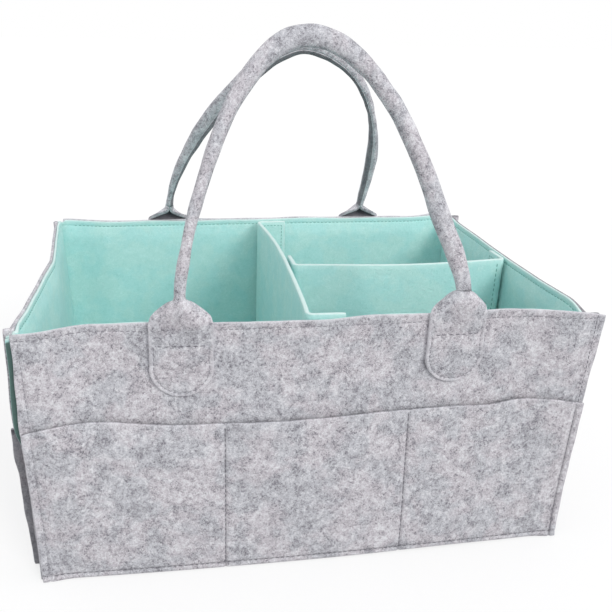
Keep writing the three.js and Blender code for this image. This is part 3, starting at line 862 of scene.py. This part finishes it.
def standing(x, y):
    """Height of a divider's lower edge, just above the lining's base at that place."""
    span = float(end_reach(y, 0.0, -1 if x < 0 else 1)) - STACK - GAP
    width = float(long_reach(x, 0.0)) - STACK - GAP
    inset = max(min(span - abs(x), width - abs(y)), 0.0)
    return STACK + border_rise(inset) + GAP + CUT_ROUND


def offset_plan(line, distance):
    """A plan line moved to its left by a distance."""
    before = np.vstack([line[:1], line[:-1]])
    after = np.vstack([line[1:], line[-1:]])
    along = unit(unit(line - before) + unit(after - line))
    return line + distance * np.stack([-along[:, 1], along[:, 0]], -1)


def arc(cx, cy, radius, start, end, steps=7):
    turn = np.linspace(start, end, steps)
    return np.stack([cx + radius * np.cos(turn), cy + radius * np.sin(turn)], -1)


TAB_STANDOFF = GAP + HOOK_THICKNESS + GAP + DIVIDER_FELT / 2
HOOK_STANDOFF = GAP + HOOK_THICKNESS / 2
RIM_INNER = float(long_reach(CENTRE_PLACE, WALL_HEIGHT)) - STACK
TAB_Y = RIM_INNER - TAB_STANDOFF
FOLD_Y = TAB_Y - TAB_BEND
CENTRE_FACE = CENTRE_PLACE + CENTRE_BOW + DIVIDER_FELT / 2
LONG_NEAR = CENTRE_FACE + TAB_STANDOFF


def end_inner(z):
    """Where the right end's lining is met, which the soft rim lets stand a little further out."""
    return float(end_reach(CREASE_PLACE, z, 1)) - STACK + 2.2 * z / WALL_HEIGHT


def centre_plan(z):
    """Plan line of the centre divider at that height, from the front tab's tip to the back tab's."""
    far = CENTRE_PLACE + TAB_LENGTH - CUT_ROUND
    tab = np.linspace(far, CENTRE_PLACE + TAB_BEND, 9)[:-1]
    y = np.linspace(-FOLD_Y, FOLD_Y, 76)[1:-1]
    sway = 0.5 * np.sin(y / 31.0) * (0.4 + 0.6 * z / WALL_HEIGHT)
    panel = np.stack([CENTRE_PLACE + CENTRE_BOW * (1 - (y / FOLD_Y) ** 2) + sway, y], -1)
    front = arc(CENTRE_PLACE + TAB_BEND, -FOLD_Y, TAB_BEND, -math.pi / 2, -math.pi)
    back = arc(CENTRE_PLACE + TAB_BEND, FOLD_Y, TAB_BEND, math.pi, math.pi / 2)
    first = stacked(tab, -TAB_Y)
    return np.concatenate([first, front, panel, back, (first * [1, -1])[::-1]])


def long_plan(z):
    """Plan line of the long divider at that height, from the left tab's tip to the right tab's."""
    far_x = end_inner(z) - TAB_STANDOFF
    fold = LONG_PLACE + TAB_BEND
    tab = np.linspace(LONG_PLACE + TAB_LENGTH - CUT_ROUND, fold, 9)[:-1]
    share = np.linspace(0, 1, 60)[1:-1]
    x = lerp(LONG_NEAR + TAB_BEND, far_x - TAB_BEND, share)
    y = LONG_PLACE - LONG_BOW * (1 - (2 * share - 1) ** 2) + 0.5 * np.sin(x / 24.0) * z / WALL_HEIGHT
    near = arc(LONG_NEAR + TAB_BEND, fold, TAB_BEND, math.pi, 1.5 * math.pi)
    far = arc(far_x - TAB_BEND, fold, TAB_BEND, -math.pi / 2, 0)
    return np.concatenate([stacked(LONG_NEAR, tab), near, np.stack([x, y], -1), far, stacked(far_x, tab[::-1])])


def divider(name, plan, node, body):
    top = WALL_HEIGHT - CUT_ROUND
    faces = []
    for distance in (DIVIDER_FELT / 2, -DIVIDER_FELT / 2):
        feet = np.array([standing(x, y) for x, y in offset_plan(plan(0.0), distance)])
        high = top + 0.25 * np.sin(np.arange(len(feet)) / 9.0)
        rows = [
            np.column_stack([offset_plan(plan(float(lerp(0.0, WALL_HEIGHT, s))), distance), lerp(feet, high, s)])
            for s in np.linspace(0, 1, 44)
        ]
        faces.append(np.array(rows))
    sheet = felt_sheet(name, *faces, MINT, body, [node])
    length = run_along(plan(WALL_HEIGHT / 2))[-1]


def hook_strip(name, node, body, corners_at):
    top = WALL_HEIGHT - HOOK_DROP
    heights = np.linspace(top - HOOK_HEIGHT + 0.4, top - 0.4, 26)
    face, back = (
        np.array([[(*corners_at(z, s, sign), z) for s in np.linspace(0.02, 0.98, 10)] for z in heights])
        for sign in (1, -1)
    )
    felt_sheet(name, face, back, TAPE, body, [node], cut=0.35, steps=4)


def dividers():
    divider("centre_divider_felt", centre_plan, "centre_divider_panel", "centre_divider")
    divider("long_divider_felt", long_plan, "long_divider_panel", "long_divider")
    half = HOOK_THICKNESS / 2
    for end, name in ((-1, "front"), (1, "back")):
        far = CENTRE_PLACE + TAB_LENGTH - HOOK_MARGIN
        y = end * (RIM_INNER - HOOK_STANDOFF)
        place = lambda z, s, sign, y=y, far=far: (lerp(far - HOOK_WIDTH, far, s), y + sign * half)
        hook_strip(f"centre_{name}_hooks", f"centre_{name}_hook_strip", "centre_divider", place)
    far = LONG_PLACE + TAB_LENGTH - HOOK_MARGIN
    near_x = lambda z: CENTRE_FACE + HOOK_STANDOFF
    far_x = lambda z: end_inner(z) - HOOK_STANDOFF
    for name, x_at in (("left", near_x), ("right", far_x)):
        place = lambda z, s, sign, x_at=x_at: (x_at(z) + sign * half, lerp(far - HOOK_WIDTH, far, s))
        hook_strip(f"long_{name}_hooks", f"long_{name}_hook_strip", "long_divider", place)


# ---- the handles

# Two entries of each handle set the strength of painted shade: on the grip's underside and on the back face in the
# hollow of each foot.
HANDLES = {
    "front": dict(
        facing=-1, rise=176.0, lean=math.radians(20), sway=-4.0, left=(0.16, 0.58), right=(0.1, 0.68),
        places=[-1, -0.8, -0.55, -0.25, 0, 0.25, 0.5, 0.62, 0.75, 0.88, 0.96, 1],
        widths=[7.4, 7.0, 8.4, 11.0, 15.0, 11.6, 10.8, 11.6, 12.4, 12.4, 10.2, 8.6],
        depths=[8.0, 10.0, 12.0, 11.5, 9.0, 11.5, 12.0, 11.6, 11.0, 9.8, 8.6, 8.0],
        dome=([0, 4, 7.2, 10, 12, 13.4, 14.6, 16], [19.8, 18.8, 15.9, 12.4, 9.4, 6.6, 4.4, 3.7]),
        seam=0.0, push={-1: (0.8, 0.6, 0.6), 1: (1.0, 3.9, -0.5)}, under=0.35, hollow_shade=0.45, slope=0.9,
    ),
    "back": dict(
        facing=1, rise=177.8, lean=math.radians(29), sway=16.2, left=(0.43, 0.36), right=(0.90, 0.13),
        places=[-1, -0.85, -0.5, -0.1, 0.05, 0.3, 0.5, 0.75, 1],
        widths=[6.0, 7.0, 14.6, 14.6, 13.5, 8.6, 5.8, 11.4, 6.5],
        depths=[8.0, 8.5, 9.0, 9.0, 9.5, 11.5, 12.0, 10.0, 8.0],
        dome=([0, 2, 4, 6, 7.5, 9, 10.5, 15], [19.3, 17.0, 14.2, 10.6, 7.4, 5.0, 3.8, 3.3]),
        seam=0.15, push={-1: (0.0, 0.0, 0.0), 1: (2.5, 2.2, 2.2)}, under=0.65, hollow_shade=0.9, slope=0.0,
    ),
}
PATCH_LOW = -(PATCH_DROP + 1.0) + CUT_ROUND
SEWN_TOP = -13.0  # the line of stitches across a patch, below the hinge line
PATCH_SEAM = 2.0  # from a patch's edge in to its stitches
OFF_PATCH = 99.0  # stands for a place that no patch's edge is near
FULL_WRAP = math.radians(172)  # how far the rolled strip reaches round to either side of its middle
HINGE_Y, BEND_LOW, BEND_HIGH = 0.1278, 0.172, 0.194  # the hinge line and the band in which the real strap bends, in metres, handed on with the handle's body but not used


def arch_half(handle, side, steps=90):
    """Place across the wall and rise along one half of a handle, from its neck to its top."""
    half, top = HANDLE_SPAN / 2, handle["rise"]
    upright, level = handle["left"] if side < 0 else handle["right"]
    t = np.linspace(0, 1, steps)[:, None]
    pull = lerp(SPRING_RISE, top, upright)
    p = np.array([[-half, SPRING_RISE], [-half, pull], [-half * level, top], [0, top]])
    arch = (1 - t) ** 3 * p[0] + 3 * (1 - t) ** 2 * t * p[1] + 3 * (1 - t) * t * t * p[2] + t**3 * p[3]
    reach = run_along(arch)
    even = np.linspace(0, reach[-1], steps)
    return np.stack([np.interp(even, reach, arch[:, k]) for k in (0, 1)], -1) * [-side, 1]


def arch_stations(handle):
    """Place across, rise and place along (-1 at the left neck, 1 at the right) of each row."""
    round_part = PATCH_HALF * (1 - np.cos(np.radians(np.linspace(9, 90, 22))))
    patch = np.concatenate([PATCH_LOW + round_part, np.linspace(PATCH_LOW + PATCH_HALF, 0, 24)[1:]])
    low = np.concatenate([patch, np.linspace(0, SPRING_RISE, 30)[1:-1]])
    sides = []
    for side in (-1, 1):
        arch = arch_half(handle, side)
        along = np.concatenate([np.full(len(low), 1.0), np.linspace(1, 0, len(arch))])
        sides.append(np.column_stack([np.concatenate([stacked(side * HANDLE_SPAN / 2, low), arch]), side * along]))
    left, right = sides
    return np.concatenate([left, right[::-1][1:]])


def round_half(rise):
    """Half the width of a patch's round lower end at that rise."""
    return math.sqrt(max(PATCH_HALF**2 - (PATCH_HALF - (rise - PATCH_LOW)) ** 2, 0.5))


def strip_section(handle, rise, along, turns):
    """Place along the width and outwards of the strip's middle line."""
    if rise < PATCH_LOW + PATCH_HALF:
        return stacked(round_half(rise) * turns, 0.0)
    wide, deep = (
        (float(eased(along, handle["places"], handle[key], 0.06)) - HANDLE_FELT) / 2 for key in ("widths", "depths")
    )
    shut = math.sqrt(wide * deep)

    def bent(rolled):
        """Wrap and half axes of the section for how far the strip is rolled up, from 0 to 1."""
        wrap = lerp(math.radians(0.5), FULL_WRAP, rolled)
        radius = lerp(PATCH_HALF, shut * FULL_WRAP, rolled) / wrap
        return wrap, radius * lerp(1, wide / shut, rolled), radius * lerp(1, deep / shut, rolled)

    shares = np.linspace(0, 1, 200)
    wraps, axes, _ = bent(shares)
    quarter = np.minimum(wraps, math.pi / 2)
    halves = (axes + HANDLE_FELT / 2) * np.sin(quarter) + CUT_ROUND * np.cos(quarter)
    slope = (handle["slope"] if along > 0 else 0.0) * float(bell(rise, 9.5, 3.5))
    target = max(float(eased(rise, *handle["dome"], 0.8)) - slope, wide + HANDLE_FELT / 2)
    rolled = 1.0 if rise > handle["dome"][0][-1] - 1 else float(np.interp(-target, -halves, shares))
    wrap, across, out = bent(rolled)
    turn = turns * wrap - handle["seam"] * rolled * (1 - abs(along) ** 8)
    middle = out * (1 + math.cos(wrap)) / 2
    return np.stack([across * np.sin(turn), out * np.cos(turn) - middle], -1)


def patch_inset(rise, turns):
    """Distance of each point of a row from the patch's cut edge."""
    below = PATCH_HALF - (rise - PATCH_LOW)
    if below > 0:
        return PATCH_HALF - np.hypot(round_half(rise) * turns, below)
    return PATCH_HALF - np.abs(PATCH_HALF * turns)


def leaned(rise):
    """How much of a rise the lean acts on, as it sets in softly above the hinge line."""
    rise = np.maximum(rise, 0)
    return rise - LEAN_RUN * (1 - np.exp(-rise / LEAN_RUN))


def foot_give(facing, side, rise, points, local):
    """How far outwards a row of a handle's foot leaves its flat shape.

    It follows the soft wall below the rim and has a dent and a bump where the roll pulls at it.
    """
    give = long_give(facing, points[:, 0], np.clip(points[:, 2], 0, WALL_HEIGHT)) * (1 - smooth(rise, -6, 14))
    off = smooth(rise, SEWN_TOP, 0) * (1 - smooth(rise, 6, 16))
    fades = 1 - smooth(rise, 10, 15)
    bump = bell(local, 6.5, 7.5) * bell(rise, 1.5, 8.0) * fades
    valley = bell(local + 1.0 + 6.5 * np.clip((11 - rise) / 18, 0, 1.2), 0, 3.4) * smooth(rise, -12, -3) * fades
    size = (1.0 if side < 0 else 0.6) if facing < 0 else 0.0
    return give + 0.8 * off * bell(local, 0, 16) + size * (2.6 * bump - 2.4 * valley)


def handle_surface(name):
    """Rows of a handle's strip, places across it, its middle surface and the distances from its patches' edges."""
    handle = HANDLES[name]
    facing, lean = handle["facing"], handle["lean"]
    foot_y = float(long_reach(HANDLE_SPAN / 2, WALL_HEIGHT)) + GAP + HANDLE_FELT / 2
    quarter = math.pi / 2 * 0.86
    turns = np.sin(np.linspace(-1, 1, 49) * quarter) / math.sin(quarter)
    rows = arch_stations(handle)
    rises = rows[:, 1]
    sides = [-1 if x0 < 0 else 1 for x0 in rows[:, 0]]
    away = leaned(rises)
    low, neck, over = np.array([handle["push"][side] for side in sides]).T
    push = lerp(low, neck, smooth(rises, 0, 15))
    push = lerp(push, over, smooth(rises, 16, 75)) * (1 - smooth(rises, 60, 160))
    # The sections turn with this line and not with the push
    line = stacked(
        rows[:, 0] + handle["sway"] * away / leaned(handle["rise"]), facing * (foot_y - math.sin(lean) * away),
        HINGE_Z + rises - (1 - math.cos(lean)) * away,
    )
    middle, insets = [], []
    for i, (centre, side, (_, rise, place)) in enumerate(zip(line + stacked(push, 0.0, 0.0), sides, rows)):
        tilt = lean * (1 - math.exp(-max(rise, 0) / LEAN_RUN))
        outward = np.array([0, facing * math.cos(tilt), math.sin(tilt)])
        along = line[min(i + 1, len(rows) - 1)] - line[max(i - 1, 0)] if rise > 0 else np.array([0, 0, -side])
        section = strip_section(handle, rise, place, turns)
        points = centre + section[:, :1] * unit(np.cross(outward, along)) + section[:, 1:] * outward
        local = points[:, 0] - side * HANDLE_SPAN / 2 - handle["push"][side][0]
        points[:, 1] += facing * foot_give(facing, side, rise, points, local)
        middle.append(points)
        insets.append(patch_inset(rise, turns) if rise < 0 else np.full(len(turns), OFF_PATCH))
    return rows, turns, np.array(middle), np.array(insets)


def surface_normals(grid):
    return unit(np.cross(np.gradient(grid, axis=0), np.gradient(grid, axis=1)))


def handle(name):
    """A handle's felt strip, and what its stitches need to know of it."""
    rows, turns, middle, insets = handle_surface(name)
    facing, under, hollow_shade = (HANDLES[name][key] for key in ("facing", "under", "hollow_shade"))
    rise = rows[:, 1:2]
    normal = surface_normals(middle)
    if normal[30, len(turns) // 2, 1] * facing < 0:
        normal = -normal
    press = 0.6 * bell(insets, PATCH_SEAM, 0.8) * (rise < SEWN_TOP + 0.5)
    press = press + 0.5 * bell(rise, SEWN_TOP, 0.9) * (insets > PATCH_SEAM)
    soft = 0.16 * ripple(middle, 13, 61) + 0.2 * ripple(middle, 30, 62)
    face = middle + normal * (HANDLE_FELT / 2 + soft - press)[..., None]
    back = middle - normal * (HANDLE_FELT / 2 - 0.3 * soft)[..., None]
    y = facing * HINGE_Y
    body = ("caddy_body", f"{name}_handle", (0, y, BEND_LOW), (0, y, BEND_HIGH))
    nodes = [f"{name}_handle_grip", f"{name}_left_handle_patch", f"{name}_right_handle_patch"]
    pale = 0.6 * (1 - smooth(insets, 0.3, 1.5)) * (rise < 0)
    grip = smooth(rise, 8, 16)
    # Painted shade on the underside of the grip and on the back face in the hollow of each foot; the back handle's
    # cut edges just above the rim take painted shade, elsewhere they are pale.
    shade = under * smooth(turns, 0.5, 0.7) * grip
    dark = hollow_shade * smooth(rise, -4, 1) * (1 - 0.3 * grip)
    cut_pale_and_shade = 1.0 if facing < 0 else 0.8 - 1.2 * smooth(rows[:, 1], -3, 0) * (1 - grip[:, 0])
    felt_sheet(f"{name}_handle_strip", face, back, GREY, body, nodes, side_cut=cut_pale_and_shade, tones=(pale - shade, -dark))
    return rows, face, normal, insets


def patch_threads(thread, cross, rows, face, normal, insets):
    """The U of stitches round each patch and the darker line across it."""
    count = len(rows)
    middle = face.shape[1] // 2

    def at_seam(values, i, part):
        return np.array([np.interp(PATCH_SEAM, insets[i][part], values[i][part][:, k]) for k in range(3)])

    for index in (range(count // 2), range(count - 1, count // 2, -1)):
        sewn = [i for i in index if rows[i, 1] <= SEWN_TOP]
        inside = [i for i in sewn if insets[i].max() >= PATCH_SEAM]
        left, right = slice(0, middle + 1), slice(None, middle - 1, -1)
        path = [(i, left) for i in inside[::-1]] + [(i, right) for i in inside]
        line, ups = (np.array([at_seam(values, i, part) for i, part in path]) for values in (face, normal))
        thread.row(line, ups, pitch=3.2, length=2.5, radius=0.3)
        across = min(sewn, key=lambda i: abs(rows[i, 1] - SEWN_TOP))
        keep = insets[across] > PATCH_SEAM
        cross.row(face[across][keep], normal[across][keep], pitch=4.4, length=3.0, radius=0.34)


# ---- stitching on the walls and dividers


def end_point(side, y, z, depth, drop):
    """A point of an end wall at this depth below its outer face, lowered by the drop."""
    x = end_reach(y, z, side) + end_give(side, y, z) - depth
    return stacked(side * x, y, z + end_lift(side, y) - drop)


def wall_threads():
    """The stitches of the rims, corners, pockets and bottom seams."""
    grey, dark, mint = Thread(), Thread(), Thread()
    z_rim = WALL_HEIGHT - RIM_STITCH
    z_low, z_high = np.linspace(4.0, 106.0, 80), np.linspace(109.0, 175.0, 60)
    last = half_length(z_rim) - 3.0
    for facing in (-1, 1):
        out = (0, facing, 0)
        outer = lambda x, z: long_point(facing, x, z, wall_press(x, z))
        inner = lambda x, z: long_point(facing, x, z, STACK - lining_press(z))
        pocket = lambda x, z: pocket_point(facing, x, z)
        for low, high in ((-last, -110.5), (-67.5, 67.5), (110.5, last)):
            surface_row(grey, outer, np.linspace(low, high, 120), z_rim, out)
        surface_row(mint, inner, np.linspace(12 - last, last - 12, 300), z_rim, (0, -facing, 0), radius=0.26)
        for x in (-POCKET_SEAM, POCKET_SEAM):
            surface_row(dark, pocket, x, np.linspace(5.5, float(pocket_mouth(x)) - 0.5, 80), out, radius=0.3)
        for side in (-1, 1):
            near_edge = side > 0 > facing
            lower = grey if side * facing > 0 else dark
            surface_row(lower, pocket, side * (half_length(z_low) - CORNER_SEAM), z_low, out, radius=0.24)
            upper = dark if near_edge or side * facing < 0 else grey
            x_high = side * (half_length(z_high) - CORNER_SEAM + (2.5 if near_edge else 0))
            surface_row(upper, outer, x_high, z_high, out, radius=0.24)
        surface_row(dark, pocket, np.linspace(-175, 175, 300), FOOT_SEAM + 1.0, out, radius=0.26)
    y_rim = np.linspace(-112, 112, 200)
    for side in (-1, 1):
        outer = lambda y, z: end_point(side, y, z, RIM_PRESS, 0.0)
        inner = lambda y, z: end_point(side, y, z, STACK - lining_press(z), LINING_DROP)
        surface_row(grey, outer, y_rim, z_rim, (side, 0, 0))
        surface_row(mint, inner, y_rim, z_rim, (-side, 0, 0), radius=0.26)
    grey.make("rim_and_pocket_stitches", GREY_THREAD, "caddy_body")
    dark.make("corner_and_foot_stitches", DARK_THREAD, "caddy_body")
    mint.make("lining_rim_stitches", MINT_THREAD, "caddy_body")


def box_row(thread, corners, normal):
    """Stitches along a closed box with those corners."""
    sides = zip(corners, corners[1:] + corners[:1])
    line = [lerp(np.array(a), np.array(b), t) for a, b in sides for t in np.linspace(0, 1, 30)[:-1]]
    line = np.array(line + [np.array(corners[0])])
    thread.row(line, np.tile(np.asarray(normal, float), (len(line), 1)), pitch=3.2, length=2.5, radius=0.26)


def divider_threads():
    top = WALL_HEIGHT - 4.0
    low = top - 66.0
    centre, long = Thread(), Thread()
    near, far = CENTRE_PLACE + 5.5, CENTRE_PLACE + TAB_LENGTH - 3.4
    for end in (-1, 1):
        y = end * (TAB_Y - DIVIDER_FELT / 2)
        box_row(centre, [(near, y, low), (near, y, top), (far, y, top), (far, y, low)], (0, -end, 0))
    near, far = LONG_PLACE + 5.5, LONG_PLACE + TAB_LENGTH - 3.4
    for side in (-1, 1):
        at_low, at_top = (
            LONG_NEAR + DIVIDER_FELT / 2 if side < 0 else end_inner(z) - TAB_STANDOFF - DIVIDER_FELT / 2
            for z in (low, top)
        )
        corners = [(at_low, near, low), (at_top, near, top), (at_top, far, top), (at_low, far, low)]
        box_row(long, corners, (-side, 0, 0))
    z = np.linspace(10.0, WALL_HEIGHT - 2.0, 80)
    x = np.array([end_inner(k) for k in z]) - TAB_STANDOFF - TAB_BEND - 1.6
    line = stacked(x, LONG_PLACE - DIVIDER_FELT / 2, z)
    long.row(line, np.tile([0.0, -1.0, 0.0], (len(z), 1)), pitch=4.2, length=3.1, radius=0.38)
    centre.make("centre_divider_stitches", MINT_THREAD, "centre_divider")
    long.make("long_divider_stitches", MINT_THREAD, "long_divider")


# ---- the scene round it


def camera():
    """The photograph's own view, solved from the corners of the rim and the foot."""
    yaw, pitch, roll = 0.1708, 0.3556, 0.0268
    pixels, focal, centre_x, centre_y = 612, 730.4663, 276.6638, 291.929
    forward = np.array([math.sin(yaw) * math.cos(pitch), math.cos(yaw) * math.cos(pitch), -math.sin(pitch)])
    right = np.array([math.cos(yaw), -math.sin(yaw), 0])
    up = np.cross(right, forward)
    x = math.cos(roll) * right + math.sin(roll) * up
    y = math.cos(roll) * up - math.sin(roll) * right
    data = bpy.data.cameras.new("camera")
    eye = bpy.data.objects.new("camera", data)
    bpy.context.scene.collection.objects.link(eye)
    turn = Matrix([[x[k], y[k], -forward[k]] for k in range(3)]).to_4x4()
    eye.matrix_world = Matrix.Translation((-0.1007753, -0.5383534, 0.3523585)) @ turn
    data.sensor_width = 36
    data.lens = focal * 36 / pixels
    data.shift_x = (pixels / 2 - centre_x) / pixels
    data.shift_y = (centre_y - pixels / 2) / pixels
    data.clip_start = 0.02
    bpy.context.scene.camera = eye


def rays_seen(tree):
    """1 for rays that the camera, a gloss or a clear body sees by, and 0 for those that light things."""
    path = add(tree, "ShaderNodeLightPath").outputs
    seen = maths(tree, "MAXIMUM", path["Is Camera Ray"], path["Is Glossy Ray"])
    return maths(tree, "MAXIMUM", seen, path["Is Transmission Ray"])


def surroundings():
    """A white table that runs into a white room, one soft sun from the right and a plain sky."""
    scene = bpy.context.scene
    scene.view_settings.view_transform = "Standard"
    floor_mesh = bpy.data.meshes.new("floor")
    s = 12.0
    floor_mesh.from_pydata([(-s, -s, 0), (s, -s, 0), (s, s, 0), (-s, s, 0)], [], [(0, 1, 2, 3)])
    floor = bpy.data.objects.new("floor", floor_mesh)
    floor.location = (0, 0, -0.0002)
    scene.collection.objects.link(floor)
    material, tree = nodes_of("floor")
    seen = rays_seen(tree)
    tone = mix(tree, seen, (0.42, 0.42, 0.42, 1), (0.96, 0.96, 0.96, 1))
    shader = add(tree, "ShaderNodeBsdfDiffuse", {"Color": tone})
    white = add(tree, "ShaderNodeEmission", {"Color": (1, 1, 1, 1), "Strength": 1.0})
    both = add(tree, "ShaderNodeMixShader", {0: times(tree, seen, 0.72), 1: shader.outputs[0], 2: white.outputs[0]})
    output(tree, both)
    floor_mesh.materials.append(material)
    world = bpy.data.worlds.new("room")
    scene.world = world
    world.use_nodes = True
    tree = world.node_tree
    tree.nodes.clear()
    light = add(tree, "ShaderNodeBackground", {"Color": (0.98, 0.985, 1.0, 1), "Strength": 0.96})
    white = add(tree, "ShaderNodeBackground", {"Color": (1, 1, 1, 1), "Strength": 1.0})
    both = add(tree, "ShaderNodeMixShader", {0: rays_seen(tree), 1: light.outputs[0], 2: white.outputs[0]})
    output(tree, both, "World")
    sun = bpy.data.lights.new("sun", "SUN")
    sun.energy = 1.25
    sun.angle = math.radians(22)
    sun.color = (1.0, 0.99, 0.975)
    lamp = bpy.data.objects.new("sun", sun)
    scene.collection.objects.link(lamp)
    aim = Vector((0.42, -0.76, 0.48))
    lamp.matrix_world = Matrix.Translation(aim) @ aim.to_track_quat("Z", "Y").to_matrix().to_4x4()


camera()
surroundings()
for wall_name, wall_side in (("front", -1), ("back", 1)):
    long_wall(wall_name, wall_side)
    long_pocket(wall_name, wall_side)
for wall_name, wall_side in (("left", -1), ("right", 1)):
    end_wall(wall_name, wall_side)
    end_pocket(wall_name, wall_side)
bases()
dividers()
patch_thread, cross_thread = Thread(), Thread()
for handle_name in ("front", "back"):
    patch_threads(patch_thread, cross_thread, *handle(handle_name))
patch_thread.make("handle_patch_stitches", GREY_THREAD, "caddy_body")
cross_thread.make("handle_cross_stitches", DARK_THREAD, "caddy_body")
wall_threads()
divider_threads()
